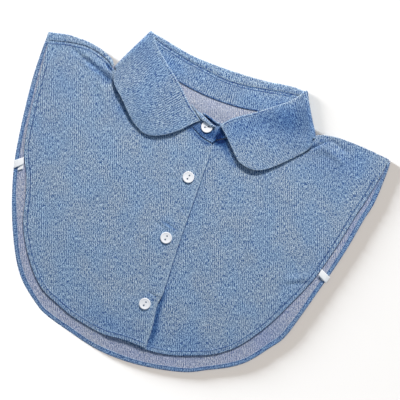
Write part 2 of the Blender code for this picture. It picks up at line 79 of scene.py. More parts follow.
# The hem's section. Columns: distance from the outer edge, height.
HEM_SECTION = (
    (4.5, 1.6), (3.6, 1.68), (2.4, 1.74), (1.3, 1.72), (0.75, 1.56), (0.48, 1.25),
    (0.42, 1.0), (0.5, 0.74), (0.8, 0.55), (1.4, 0.5),
)
SHOULDER_SEAM = (
    (-179.0, 19.2), (-175, 20), (-165, 22.8), (-155, 25.2), (-140, 27), (-130, 26),
    (-120, 23), (-114, 20.4), (-110, 17.6), (-107.9, 15.4),
)
RIGHT_FRONT_TOP = (
    (-176.4, 19.6), (-165, 22.6), (-155, 25.0), (-140, 26.8), (-130, 25.8), (-120, 22.8),
    (-114, 20.2), (-110, 17.3), (-105.4, 15), (-102.6, 17), (-99, 26.8), (-89, 25.8),
    (-77, 20.4), (-53, 8.8), (-34, -0.7), (-22, -6.2), (-12, -12.4), (-2, -16.9), (9, -19.4),
)
RIGHT_FRONT_OUTER = (
    (-174.5, 4), (-172.3, -20), (-167.8, -60), (-162, -90), (-152.5, -110),
    (-145.8, -130), (-137.5, -160), (-119.5, -190), (-100.5, -210), (-80, -219.8),
    (-60, -226.8), (-30, -232), (-6, -230.4), (15.8, -231),
)
LEFT_FRONT_TOP = (
    (-19, -16.2), (-6, -16.6), (8, -15.4), (22, -8.2), (34, -2.4), (50, 6.5), (70, 17.4),
    (83, 24.2), (90.5, 26.8), (96, 17), (98, 16.4), (99.2, 17), (100, 18.8),
    (100.5, 20.8), (101.5, 22.6), (103.4, 23.7), (107, 25.0), (113, 26.3), (125, 27.8),
    (150, 26.9), (176.8, 24.1),
)
LEFT_FRONT_OUTER = (
    (-18, -231), (14, -232.4), (40, -229.2), (60, -222.5), (80, -214), (100, -198.5),
    (120, -170.5), (136, -138), (143, -122.5), (149.5, -105), (158.5, -70),
    (164.5, -40), (169.5, -20), (174.4, 6),
)
PLACKET_EDGE = (
    (9, -21.1), (10.4, -40), (11, -80), (11.8, -130), (13.6, -172), (12.2, -188),
    (14.8, -208), (15.8, -231),
)
UNDER_PLACKET_EDGE = ((-19, -18.6), (-18, -231))
PLACKET_STEP = (-32.0, -21.0)
# How far the placket's edge stands up. Columns: y, lift, reach from the edge.
PLACKET_LIFT = (
    (-21, 0.1), (-40, 0.5), (-60, 0.15), (-88, 0.7), (-122, 0.1), (-150, 0.5), (-178, 1.2),
    (-190, 0.5), (-210, 1.1), (-231, 0.3),
)

# Soft creases. Columns: x, y at each end, height, half width.
CREASES = (
    (-150, 23, -103, 8, 1.2, 7.0),
    (-118, 12, -112, -12, 0.9, 6.0),
    (108, 14, 140, 4, 1.3, 7.0),
    (146, -110, 118, -123, 1.1, 6.0),
    (-14, -104, 4, -113, 0.8, 4.0),
    (-70, -60, -84, -120, 0.7, 9.0),
    (60, -60, 84, -118, 0.7, 9.0),
)
FINE_CREASES = (
    (-157, 22, -122, 10, -0.8, 4.6),
    (-138, 15.6, -99, 0.5, -1.3, 5.4),
    (-104, 4, -68, -33, -0.8, 4.0),
    (-118, 19.4, -106, 10.6, -1.7, 1.5),
    (-146, 9, -124, 3, -0.5, 3.5),
    (-126, 4, -103, -2, -0.7, 3.0),
    (-121, 2, -114, -22, -0.5, 5.0),
    (116, 22.5, 92, -2, -1.5, 2.0),
    (112, 10, 134, 3, -0.5, 4.6),
    (112, 23.8, 139, 15.6, -1.0, 4.2),
    (148, -115, 122, -126, -0.8, 3.0),
    (-20, -110, -2, -117, -0.7, 2.6),
    (-12, -107, 6, -112.5, -1.5, 1.9),
    (-2, -86, 10, -96, -0.7, 2.2),
    (-36, -62, -9, -60, 0.35, 2.6),
    (-30, -70, -9, -62, -0.3, 2.4),
    (-34, -128, -9, -124, 0.35, 2.8),
    (-28, -183, -8, -188, -0.3, 2.6),
    (-34, -197, -6, -192, 0.35, 3.0),
    (-2, -177.4, 12, -181, -1.2, 1.5),
    (9.2, -176, 8.3, -193, -1.0, 1.4),
    (60, -30, 110, -52, 0.4, 12.0),
    (-60, -160, -110, -150, 0.4, 14.0),
    (40, -150, 95, -176, 0.4, 12.0),
    (-150, -30, -120, -70, 0.4, 12.0),
    (24, -60, 34, -120, 0.35, 9.0),
)

# The leaf's fold in front. Columns: x, y, distance from the fold to the stand's seam.
RIGHT_FOLD = (
    (-10, -3, 1.5), (-15, 1, 1.6), (-25, 8, 2), (-40, 22.5, 3), (-60, 38.5, 3.8), (-74, 50.5, 4),
)
LEFT_FOLD = ((9.5, -0.5, 1.5), (20, 10.5, 2), (40, 24.5, 3), (60, 40, 3.8), (70, 49.4, 4))
BACK_FOLD = ((-72, 59.9), (-55, 56.5), (-35, 53.6), (0, 53), (35, 54.9), (55, 57.8), (66, 59))
RIGHT_LEAF_FRONT = ((-15, -8), (-25, -18.5), (-35, -26.5), (-45, -32), (-52, -34))
LEFT_LEAF_FRONT = ((15, -5.5), (20, -10), (30, -20), (38, -27.5), (45, -30.4), (52, -31.2))
RIGHT_LEAF_EDGE = (
    (-52, -34), (-58, -33.8), (-66, -30.4), (-75, -24), (-90, -9), (-100, 0), (-104.6, 8),
)
LEFT_LEAF_EDGE = (
    (52, -31.2), (58, -30.5), (66, -26.6), (75, -19.5), (90, -4.5), (97, 3.5), (100.4, 10),
)
# The leaf's edge that lies under the back panel.
HIDDEN_EDGE = (
    (-105, 16.5), (-90, 13), (-60, 12.5), (-30, 14), (0, 15.5), (30, 14), (60, 12.5),
    (88, 13), (99.6, 17.5),
)
# Where the leaf folds at the sides of the neck, from its fold to its edge.
RIGHT_SIDE = ((-85.6, 61.7), (-90, 52.6), (-95, 42.7), (-100, 32.5), (-104.6, 22.6), (-106.9, 17.2))
LEFT_SIDE = ((78.9, 58.9), (84.2, 48.6), (89.6, 39.4), (94.8, 31), (99.6, 23.6), (101.6, 18.6))
# How far the leaf's outer edge stands up. Columns: share of the way to the side, lift.
RIGHT_LEAF_LIFT = ((0, 0.9), (0.2, 0.9), (0.4, 2.6), (0.7, 3.3), (0.9, 1.4), (1, 0.1))
LEFT_LEAF_LIFT = ((0, 2.8), (0.12, 2.6), (0.3, 1.3), (0.5, 0.3), (0.8, 0.1), (1, 0))
# Distances down the side of the neck, from the fold to the leaf's seam and the stand's foot.
RIGHT_SEAM_AT_SIDE = 2.0
LEFT_SEAM_AT_SIDE = 4.0
STAND_AT_SIDE = 29.0
# The roll's radius, half the leaf's wall, and the air under its edge.
ROLL = 0.9
HALF_LEAF = 0.5
LEAF_LOFT = 0.4
# Heights of the folds and of the two tabs.
LEAF_TOP = 7.0
LEAF_TOP_AT_LEFT_FRONT = 6.6
TOP_TAB = 3.7
UNDER_TAB = 2.1
# Shares of the way to the side between which the stand climbs, and its gaps.
STAND_RISE = (0.45, 0.85)
STAND_GAP = 0.5
LAP = 0.95

RIGHT_STAND_TOP = ((8.2, -4.6), (2, -2.6), (-5, 0.4), (-10, 3.2), (-17, 4.0), (-26, 6.4))
RIGHT_STAND_FRONT = ((8.2, -4.6), (10.6, -7), (11.5, -11), (10.8, -16), (8.4, -20))
RIGHT_STAND_LOWER = (
    (8.4, -20), (-2, -17.8), (-12, -13.3), (-22, -7.2), (-34, -1.7), (-53, 7.8),
    (-77, 19.4), (-88, 27),
)
LEFT_STAND_TOP = ((-15, -1.5), (-9, 4), (0, 2.2), (8, 0.9), (15, 3.6), (22, 8.6))
LEFT_STAND_FRONT = ((-15, -1.5), (-17.4, -6), (-17.4, -12), (-15, -16))
LEFT_STAND_LOWER = (
    (-15, -16), (0, -17.6), (10, -15.9), (22, -8.8), (34, -2.7), (50, 6.4), (70, 17.4),
    (82, 24.4),
)
BACK_STAND_LOWER = (
    (-78, 30), (-60, 27.7), (-42, 24.9), (-22, 22), (0, 20.9), (22, 21.8), (40, 24.6),
    (60, 27.4), (76, 29.1),
)
BACK_SEAM = (
    (-77, 56.6), (-70, 54.9), (-55, 51.3), (-40, 48.1), (-20, 45.2), (0, 42.9), (20, 44.1),
    (40, 47.6), (55, 50.4), (66, 52),
)
# The stand's upper edge curls over its tab. Columns: foot x, y, z, then edge x, y, z.
TOP_CURL = (
    (6.3, -3.7, 4.2, 5.2, -4.9, 6.8), (2, -2.4, 4.3, 0.6, -4.8, 7.6),
    (-4.4, 0.3, 4.4, -4.8, -3.5, 7.8), (-10, 3.0, 4.7, -9.8, -2.1, 7.8),
    (-16, 4.7, 5.0, -14.6, 1.0, 7.3), (-24, 8.9, 5.4, -22.6, 7.0, 6.6),
)
UNDER_CURL = (
    (-10.5, 4.9, 2.6, -10.4, 3.8, 4.4), (-5, 3.9, 2.6, -5.2, 2.6, 4.6),
    (0, 2.5, 2.6, -0.4, 1.2, 4.6), (5, 1.2, 2.6, 4.6, -0.1, 4.4), (9.6, 0.5, 2.5, 9.0, -0.9, 3.9),
)

# Columns: node, x, y, turn of the holes in degrees.
BUTTONS = (
    ("button_1", -1.8, -7.0, 28),
    ("button_2", -2.0, -59.3, 78),
    ("button_3", -2.2, -122.5, 82),
    ("button_4", 0.3, -190.2, 75),
)
BUTTON_RADIUS = 5.7
# The button's heights are taken by this share.
BUTTON_FLATTEN = 0.85
# Columns: share of the radius, height above the seat.
BUTTON_SECTION = (
    (0.0, 0.0), (0.5, 0.0), (0.78, 0.02), (0.9, 0.22), (0.97, 0.55), (1.0, 0.95), (1.0, 1.3),
    (0.985, 1.55), (0.95, 1.75), (0.9, 1.85), (0.85, 1.86), (0.8, 1.8), (0.75, 1.69),
    (0.7, 1.6), (0.62, 1.55), (0.4, 1.51), (0.2, 1.5), (0.0, 1.5),
)
HOLE_RADIUS = 0.85
HOLE_SPACING = 3.8
# The drill's profile, in the same columns.
DRILL = ((0, -1), (1, -1), (1, 3), (0, 3))

# Columns: node, corners of the loop's upper side, corners of its under side.
STRAPS = (
    ("right_strap", ((-168.0, -102.1), (-160.0, -95.9), (-157.9, -102.4), (-165.9, -109.8)),
     ((-164.0, -108.8), (-158.6, -101.4), (-157.0, -107.0), (-161.4, -110.4))),
    ("left_strap", ((151.4, -99.2), (162.2, -104.2), (160.0, -110.8), (150.2, -105.6)),
     ((151.2, -101.0), (158.8, -105.6), (157.6, -110.6), (151.0, -106.9))),
)
# Height of the upper side, its arch, and how far the under side lies below it.
STRAP_HEIGHT = 3.5
STRAP_ARCH = 0.5
STRAP_DROP = 1.15

# Painted shade: places where the cloth's colour is made darker and bluer where shade falls, and paler where the
# depth is negative. Columns: x, y, reach x, reach y, depth.
LEAF_SHADE = (
    (-60, 16, 60, 50, 0.07), (60, 16, 60, 50, 0.09),
    (84, 34, 22, 28, 0.5), (52, 22, 28, 17, 0.5), (30, 2, 16, 12, 0.35),
    (-84, 42, 14, 22, 0.3), (-50, 20, 34, 26, 0.14),
)
RIGHT_FRONT_SHADE = (
    (-20, -220, 60, 10, 0.3), (-150, -60, 14, 40, 0.12), (-152, -6, 18, 26, 0.15),
    (-84, -24, 24, 10, 0.2), (4, -183, 9, 4, 0.3), (-9, -108.6, 4, 1.6, 0.35),
    (-4, -110.4, 4, 1.6, 0.35), (1, -111.6, 4, 1.6, 0.35), (4, -91, 4, 3, 0.25),
    (-22, -10, 6, 3, 0.5), (-14, -14.5, 6, 3, 0.7), (-5, -18.8, 6, 3, 0.7), (4, -22, 6, 2.6, 0.8),
    (-113.5, 16.8, 2.4, 1.7, 1.0), (-110, 14.6, 2.4, 1.7, 1.0), (-128, 12, 9, 3.5, 0.4),
    (-118, 7.6, 7, 3.5, 0.5), (-109, 4, 6, 4, 0.7), (-97, -6, 4, 7, 0.5), (-88, -18, 5, 5, 0.4),
)
# The whole hem evenly darker and bluer, through the same mix.
HEM_DARKENING = ((0, -100, 900, 900, 0.4),)
LEFT_FRONT_SHADE = (
    (13, -16, 4, 4, 1.5), (18, -13, 4, 5, 1.5), (22.5, -19.5, 3.4, 4, 0.8),
    (27, -24.5, 3.2, 4, 0.7), (32, -29.5, 3.2, 4, 0.6), (37, -33, 4, 3, 0.4),
    (14, -23, 9, 7, 0.25), (103, 12, 5, 3, 0.5), (110, 19, 5, 2.5, 0.4), (130, 6, 36, 20, 0.42),
    (60, -212, 60, 14, 0.25), (150, -95, 12, 30, 0.2), (128, -170, 12, 30, 0.2),
    (14.6, -180, 3.2, 14, 0.9), (15, -198, 3, 10, 0.8), (18, -212, 3.4, 10, 0.8),
    (18.6, -226, 3.4, 8, 0.6), (14, -120, 2.4, 40, 0.3), (13, -50, 2.4, 30, 0.2),
)
# Painted shade on the strip beside the left front's edge, and painted light in the middle of the back's neck.
BACK_SHADE_AND_LIGHT = (
    (-2, 14, 34, 16, -0.5), (170, 10, 8, 20, 0.9), (160, -30, 9, 30, 0.35), (128, -176, 20, 20, 0.25),
)
# Painted shade on the tab, in the slit under the curl and on the stand's inside beside the leaf's folds.
STAND_SHADE = (
    (2, -13, 13, 6, 0.75), (-14, -9, 9, 7, 0.6), (-7, 2.4, 3.4, 1.5, 1.6), (-2, 0.7, 3.4, 1.5, 1.7),
    (3.4, -1.6, 3, 1.2, 1.4), (-60, 38, 16, 10, 0.3), (62, 40, 16, 10, 0.3), (0, 34, 90, 10, 0.3),
    (13.5, -10, 4, 9, 1.1), (12, -14, 3, 3, 0.6), (4, -8, 12, 9, 0.35),
)

# Wear of the first rows beside an edge, from the edge inwards.
WORN_EDGE = (1, 1, 0.9, 0.6, 0.2)
# A distance from the edge at which the hem no longer shows.
INSIDE = 60
# How far in from the edge the hems of the fronts are stitched.
HEM_STITCH = 4.1
# How far below a seam its topstitching runs.
TOPSTITCH = 3.0
# Turn of the cloth's grain in degrees, the pitch of its yarns and that of its ribs in metres.
GRAIN_TURN = 20.0
YARN = 0.00045
RIB = 0.00205

# The camera looks straight down; the picture is turned this many degrees about its middle.
VIEW_TURN = 20.0
VIEW_MIDDLE = (16.3, -76.4)
VIEW_WIDTH = 392.0
LENS = 200.0
SENSOR = 36.0


# Shapes in the plane and in height


def ease(share):
    """Soft step from 0 to 1: three times the square less twice the cube."""
    share = np.clip(share, 0, 1)
    return share * share * (3 - 2 * share)


def smooth_line(rows, places):
    """Smooth curve through the rows (Catmull-Rom), read at shares of its own length."""
    points = np.array(rows, float)
    knots = np.vstack([2 * points[0] - points[1], points, 2 * points[-1] - points[-2]])
    place = np.linspace(0, len(points) - 1, 40 * len(points))
    start = np.minimum(place.astype(int), len(points) - 2)
    part = (place - start)[:, None]
    a, b, c, d = (knots[start + step] for step in range(4))
    path = b + 0.5 * part * (c - a + part * (2 * a - 5 * b + 4 * c - d + part * (3 * b - a - 3 * c + d)))
    length = np.r_[0, np.cumsum(np.linalg.norm(np.diff(path, axis=0), axis=1))]
    spread = length[-1] * np.asarray(places)
    return np.column_stack([np.interp(spread, length, axis) for axis in path.T])


def shares(count, length, begin=True, finish=True, extra=()):
    """Shares of a length from 0 to 1, closer at cut edges and at extra distances from the end."""
    steps = np.array(EDGE_STEPS) / length
    first = steps if begin else np.zeros(1)
    last = 1 - np.r_[np.array(extra) / length, steps[::-1]] if finish else np.ones(1)
    middle = np.linspace(first[-1], last[0], count + 2)[1:-1]
    return np.r_[first, middle, last]


def patch(top, bottom, start, end, u, v):
    """Surface between four edges: the sum of both ways across less the flat span of the corners."""
    u = u[None, :, None]
    v = v[:, None, None]
    across_it = (1 - v) * top[None] + v * bottom[None]
    down_it = (1 - u) * start[:, None] + u * end[:, None]
    corners = (1 - v) * ((1 - u) * top[0] + u * top[-1]) + v * ((1 - u) * bottom[0] + u * bottom[-1])
    return across_it + down_it - corners


def across(points):
    """Unit directions at right angles to a plan curve, to the right of its run."""
    run = np.gradient(points, axis=0)
    side = np.column_stack([run[:, 1], -run[:, 0]])
    return side / np.linalg.norm(side, axis=1)[:, None]


def with_height(plan, height):
    """Plan points with a third number."""
    return np.dstack([plan, np.broadcast_to(height, plan.shape[:2])])


def soft_waves(x, y, length, seed):
    """Sum of ten sine waves of about one length, in directions and phases drawn from the seed."""
    draw = np.random.default_rng(seed)
    turn = draw.uniform(0, 2 * np.pi, 10)
    size = length * draw.uniform(0.7, 1.5, 10)
    phase = draw.uniform(0, 2 * np.pi, 10)
    way = np.multiply.outer(x, np.cos(turn)) + np.multiply.outer(y, np.sin(turn))
    return np.sin(way * 2 * np.pi / size + phase).sum(-1) / 4


def creases(x, y, rows):
    """Soft ridges: a bell across each crease that fades out at both of its ends."""
    height = np.zeros(np.shape(x))
    for x0, y0, x1, y1, top, half_width in rows:
        length = np.hypot(x1 - x0, y1 - y0)
        along = ((x - x0) * (x1 - x0) + (y - y0) * (y1 - y0)) / length
        off = ((x - x0) * (y1 - y0) - (y - y0) * (x1 - x0)) / length
        fade = ease(along / (0.3 * length)) * ease((length - along) / (0.3 * length))
        height += top * fade * np.exp(-3 * (off / half_width) ** 2)
    return height


def painted_shade(grid, rows):
    """Depth of painted shade: a bell at each of the places, longer one way than the other; a negative depth
    paints light.
    """
    x, y = grid[..., 0], grid[..., 1]
    depth = np.zeros(x.shape)
    for at_x, at_y, reach_x, reach_y, top in rows:
        depth += top * np.exp(-((x - at_x) / reach_x) ** 2 - ((y - at_y) / reach_y) ** 2)
    return depth


def back_height(x, y):
    """Middle of the back panel's wall: flat, and up over the hidden leaf near the neck."""
    edge = np.array(HIDDEN_EDGE)
    above = y - np.interp(x, edge[:, 0], edge[:, 1])
    climb = ease((above + 15) / 12) * ease((124 - np.abs(x)) / 13)
    return FLOOR_LAYER + LAYER * climb


def front_base(x, y):
    """A front lies one layer above the back panel, with the large creases."""
    return back_height(x, y) + LAYER + creases(x, y, CREASES)


def right_front_base(x, y):
    """The right front also climbs on to the left front's placket."""
    low, high = PLACKET_STEP
    return front_base(x, y) + LAYER * ease((x - low) / (high - low))


def cloth_relief(x, y, from_edge, seed):
    """Small creases, long soft waves, seam pucker close to the edge, and the hem's doubled cloth."""
    size = bpy.context.scene.collar_sizes
    waves = size.wave_height / MM * (soft_waves(x, y, 62, seed) + 0.45 * soft_waves(x, y, 24, seed + 1))
    pucker = size.pucker_height / MM * soft_waves(x, y, 9, seed + 2) * np.exp(-from_edge / 5)
    hem = 0.35 * ease((5.2 - from_edge) / 0.9)
    return creases(x, y, FINE_CREASES) + waves + pucker + hem


def placket_lift(x, y):
    """The free edge of the placket stands up between its buttons."""
    rows = np.array(PLACKET_LIFT)[::-1]
    edge = np.array(PLACKET_EDGE)[::-1]
    inside = np.interp(y, edge[:, 1], edge[:, 0]) - x
    return np.interp(y, rows[:, 0], rows[:, 1]) * np.exp(-np.clip(inside, 0, None) / 5.0)


def right_front_height(x, y, from_edge):
    """Middle of the right front's wall: its base, the small relief and the placket's lift."""
    return right_front_base(x, y) + cloth_relief(x, y, from_edge, 11) + placket_lift(x, y)


def left_front_height(x, y, from_edge):
    """Middle of the left front's wall: flat where the top placket covers it."""
    under_placket = ease((x - 2) / 22)
    return front_base(x, y) + under_placket * cloth_relief(x, y, from_edge, 23)


# Grids of the cloth pieces: rows, columns, and x, y, z in millimetres


def back_panel_grid():
    """The main panel inside its hem's fold, as a patch between its edges."""
    u = shares(230, 700)
    v = shares(104, 240, extra=(9, 6, 3))
    top = smooth_line(BACK_TOP, u)
    outer = smooth_line(BACK_OUTER, u)
    outer = outer - across(outer) * 1.3
    start = smooth_line((top[0], outer[0]), v)
    end = smooth_line((top[-1], outer[-1]), v)
    plan = patch(top, outer, start, end, u, v)
    x, y = plan[..., 0], plan[..., 1]
    return with_height(plan, back_height(x, y) + 0.05 * (1 + soft_waves(x, y, 30, 5)))


def shoulder_grid():
    """The strip that turns over the left shoulder: a half circle, then flat to its seam."""
    fold = smooth_line(BACK_TOP, shares(400, 700))
    seam = np.array(SHOULDER_SEAM)
    fold = fold[(fold[:, 0] <= seam[-1, 0])]
    seam_y = np.interp(fold[:, 0], seam[:, 0], seam[:, 1]) + 0.25
    low = back_height(fold[:, 0], fold[:, 1])
    rows = [np.column_stack([fold[:, 0], fold[:, 1] - inside, low]) for inside in (0.9, 0.7, 0.45, 0.2)]
    for turn in np.radians(np.linspace(-90, 90, 12)):
        out = np.cos(turn) * LAYER / 2
        rows.append(np.column_stack([fold[:, 0], fold[:, 1] + out, low + LAYER / 2 * (1 + np.sin(turn))]))
    high = front_base(fold[:, 0], seam_y) + 0.35 * soft_waves(fold[:, 0], seam_y, 12, 8)
    for share in shares(5, 5, begin=False)[1:]:
        middle = fold[:, 1] + (seam_y - fold[:, 1]) * share
        lift = low + LAYER + (high - low - LAYER + 0.3) * ease(share) - 0.5 * ease((share - 0.6) / 0.4)
        rows.append(np.column_stack([fold[:, 0], middle, lift]))
    return np.array(rows)


def hem_grid():
    """The back's hem: its section carried along the outer edge, wider here and there."""
    u = shares(420, 890)
    outer = smooth_line(HEM_PATH, u)
    section = smooth_line(HEM_SECTION, shares(20, 7.6))
    taper = 1 - 0.33 * (1 - ease(np.minimum(u, 1 - u) / 0.06))
    run = u * 890
    uneven = taper * (1 + 0.07 * np.sin(run / 31) + 0.05 * np.sin(run / 11.3 + 1))
    inward = section[:, :1] * np.where(section[:, :1] > 1.3, uneven[None], 1)
    plan = outer[None] - across(outer)[None] * inward[..., None]
    pucker = 0.12 * soft_waves(run, 0 * run, 8, 3) * ease(section[:, 1:] - 0.9)
    return with_height(plan, section[:, 1:] + pucker)


def front_grid(top, outer, height, start=None, end=None):
    """A front as a patch between its edges; the height depends on the way to the last row.

    An end that isn't given is the straight armhole between the corners.
    """
    u = shares(126, 190)
    v = shares(168, 250, extra=(9.5, 7.6, 6, 5.2, 4.6, 4.2, 3.2, 2, 1))
    top = smooth_line(top, u)
    outer = smooth_line(outer, u)
    start = smooth_line(start or (top[0], outer[0]), v)
    end = smooth_line(end or (top[-1], outer[-1]), v)
    plan = patch(top, outer, start, end, u, v)
    step = np.linalg.norm(np.diff(plan, axis=0), axis=2)
    along = np.vstack([np.zeros((1, plan.shape[1])), np.cumsum(step, axis=0)])
    return with_height(plan, height(plan[..., 0], plan[..., 1], along[-1] - along))


def right_front_grid():
    """From the right armhole to the top placket's edge."""
    return front_grid(RIGHT_FRONT_TOP, RIGHT_FRONT_OUTER, right_front_height, end=PLACKET_EDGE)


def left_front_grid():
    """From the under placket's edge to the left armhole."""
    return front_grid(LEFT_FRONT_TOP, LEFT_FRONT_OUTER, left_front_height, start=UNDER_PLACKET_EDGE)


class NeckSide:
    """One side of the neck, where the collar folds from its front half to its back half.

    The leaf goes round in half circles whose middles make a line down the side, and the
    stand goes round inside it, about the same line.
    """

    def __init__(self, rows, seam, v):
        self.seam = seam
        ends = smooth_line(rows, (0, 1))
        self.up = (ends[0] - ends[1]) / np.linalg.norm(ends[0] - ends[1])
        self.out = np.array((self.up[1], -self.up[0])) * np.sign(ends[0, 0])
        edge_height = front_base(*ends[1]) + LAYER + LEAF_LOFT
        self.leaf_heights = leaf_height(edge_height, LEAF_TOP, v)
        self.middles = smooth_line(rows, v) - ((self.leaf_heights - FLOOR_LAYER) / 2)[:, None] * self.out

    def below(self, distance):
        """Plan point on the line of middles, this far down from the fold."""
        return self.middles[0] - distance * self.up

    def bend(self, places, front, back):
        """Half circles from the front height to the back height of each place, a column an angle."""
        radius = (front - back) / 2
        columns = []
        for turn in np.radians(np.linspace(82, -82, 11)):
            plan = places + (radius * np.cos(turn))[:, None] * self.out
            columns.append(np.column_stack([plan, (front + back) / 2 + radius * np.sin(turn)]))
        return np.array(columns).swapaxes(0, 1)


def leaf_height(edge, top, share):
    """The leaf leaves its fold level and falls to its edge as the square of the way."""
    return edge + (top - edge) * (1 - share**2)


def beside(rows, distance):
    """Plan points at a distance from a fold line, on the side where the leaf lies."""
    line = np.array(rows, float)[:, :2]
    return line + across(line) * np.sign(line[-1, 0]) * np.reshape(distance, (-1, 1))


def ring(fronts, bends, back):
    """Right front, right side, back, left side and left front as one band of columns."""
    return np.hstack([fronts[0], bends[0], back, bends[1][:, ::-1], fronts[1][:, ::-1]])


def between(first, last, share):
    """Rows of points from one line to another."""
    return first[None] + (last - first)[None] * share[:, None, None]


def leaf_front(side, fold, front_edge, lower_edge, corner_top, under, lifts, u, v, w, seed):
    """Outer limb and inner limb of one front half, columns from the front corner to the side."""
    fold_line = np.vstack([beside(fold, ROLL + HALF_LEAF), side.middles[0]])
    rolled = smooth_line(fold_line, u)
    lower = smooth_line(np.vstack([lower_edge, side.middles[-1]]), u)
    start = smooth_line(np.vstack([rolled[0], front_edge]), v)
    plan = patch(rolled, lower, start, side.middles, u, v)
    x, y = plan[..., 0], plan[..., 1]
    top = corner_top + (LEAF_TOP - corner_top) * u
    rest = under(lower[:, 0], lower[:, 1]) + LAYER + LEAF_LOFT
    height = leaf_height(rest, top, v[:, None])
    least = under(x, y) + LAYER + LEAF_LOFT
    height = (height + least + np.sqrt((height - least) ** 2 + 0.1)) / 2
    lifts = np.array(lifts)
    height = height + np.interp(u, lifts[:, 0], lifts[:, 1]) * v[:, None] ** 2
    waves = soft_waves(x, y, 34, seed) + 0.3 * soft_waves(x, y, 13, seed + 1)
    height = height + 0.22 * waves * ease(v[:, None] / 0.3)
    near_side = ease((u - 0.86) / 0.14)
    height = height + (side.leaf_heights[:, None] - height) * near_side
    height[0] = top
    seam = np.vstack([beside(fold, ROLL + HALF_LEAF + np.array(fold)[:, 2]), side.below(side.seam)])
    inner = between(smooth_line(seam, u), rolled, w)
    return with_height(plan, height), with_height(inner, top - 2 * ROLL)


def leaf_bends(side, w):
    """Outer and inner limb round the side of the neck."""
    outer = side.bend(side.middles, side.leaf_heights, np.full(len(side.middles), FLOOR_LAYER))
    places = side.below(side.seam) + (side.middles[0] - side.below(side.seam)) * w[:, None]
    low, high = FLOOR_LAYER + 2 * ROLL, LEAF_TOP - 2 * ROLL
    return outer, side.bend(places, np.full(len(w), high), np.full(len(w), low))


def leaf_back(right, left, u, v, w):
    """Outer limb on the surface, under the back panel, and inner limb above it."""
    fold = np.array(BACK_FOLD) - (0, ROLL + HALF_LEAF)
    fold = smooth_line(np.vstack([right.middles[0], fold, left.middles[0]]), u)
    hidden = np.array(HIDDEN_EDGE)[1:-1]
    hidden = smooth_line(np.vstack([right.middles[-1], hidden, left.middles[-1]]), u)
    plan = patch(fold, hidden, right.middles, left.middles, u, v)
    seam = np.vstack([right.below(right.seam), BACK_SEAM, left.below(left.seam)])
    inner = between(smooth_line(seam, u), fold, w)
    swell = 0.35 * np.sin(np.pi * w)[:, None] + 0.12 * soft_waves(inner[..., 0], inner[..., 1], 16, 31)
    inside = np.sin(np.pi * u) ** 0.5 * np.sin(np.pi * w)[:, None]
    return with_height(plan, FLOOR_LAYER), with_height(inner, FLOOR_LAYER + 2 * ROLL + swell * inside)


def rolled_over(outer, inner):
    """Half circle of rows that joins the inner limb's last row to the outer limb's first."""
    middle = (outer[0] + inner[-1]) / 2
    half = (outer[0] - inner[-1]) / 2
    radius = np.linalg.norm(half, axis=1)[:, None]
    away = outer[0] - outer[4]
    away -= half * (away * half).sum(axis=1)[:, None] / radius**2
    away /= np.linalg.norm(away, axis=1)[:, None]
    turns = np.radians(np.linspace(-80, 80, 9))
    return np.array([middle + radius * away * np.cos(t) + half * np.sin(t) for t in turns])


def neck_sides():
    """Both sides of the neck, at the leaf's places from its fold to its edge."""
    v = shares(46, 48, begin=False)
    return v, NeckSide(RIGHT_SIDE, RIGHT_SEAM_AT_SIDE, v), NeckSide(LEFT_SIDE, LEFT_SEAM_AT_SIDE, v)


def leaf_grid():
    """Rows run from the stand's seam, over the roll and out to the leaf's edge."""
    v, right, left = neck_sides()
    w = shares(6, 4, finish=False)
    u = shares(88, 105, finish=False)
    round_back = np.linspace(0, 1, 120)
    fronts = (
        leaf_front(right, RIGHT_FOLD, RIGHT_LEAF_FRONT, RIGHT_LEAF_EDGE, LEAF_TOP,
                   right_front_base, RIGHT_LEAF_LIFT, u, v, w, 41),
        leaf_front(left, LEFT_FOLD, LEFT_LEAF_FRONT, LEFT_LEAF_EDGE, LEAF_TOP_AT_LEFT_FRONT,
                   front_base, LEFT_LEAF_LIFT, u, v, w, 47),
    )
    bends = (leaf_bends(right, w), leaf_bends(left, w))
    back = leaf_back(right, left, round_back, v, w)
    outer, inner = (ring([f[k] for f in fronts], [b[k] for b in bends], back[k]) for k in (0, 1))
    return np.vstack([inner, rolled_over(outer, inner), outer])


def stand_front(side, fold, first, top_rows, front_edge, lower_rows, tab_height, under, u, v):
    """One front half of the stand, columns from its tab to the side of the neck."""
    seam = beside(fold, ROLL + HALF_LEAF + np.array(fold)[:, 2] + STAND_GAP)[first:]
    top = smooth_line(np.vstack([top_rows, seam, side.below(side.seam + STAND_GAP)]), u)
    lower = smooth_line(np.vstack([lower_rows, side.below(STAND_AT_SIDE)]), u)
    plan = patch(top, lower, smooth_line(front_edge, v), smooth_line((top[-1], lower[-1]), v), u, v)
    low, high = STAND_RISE
    top_height = tab_height + (LEAF_TOP - 2 * ROLL - tab_height) * ease((u - low) / (high - low))
    lower_height = under(lower[:, 0], lower[:, 1]) + LAP
    height = top_height + (lower_height - top_height) * v[:, None]
    return with_height(plan, np.maximum(height, back_height(plan[..., 0], plan[..., 1]) + LAYER))


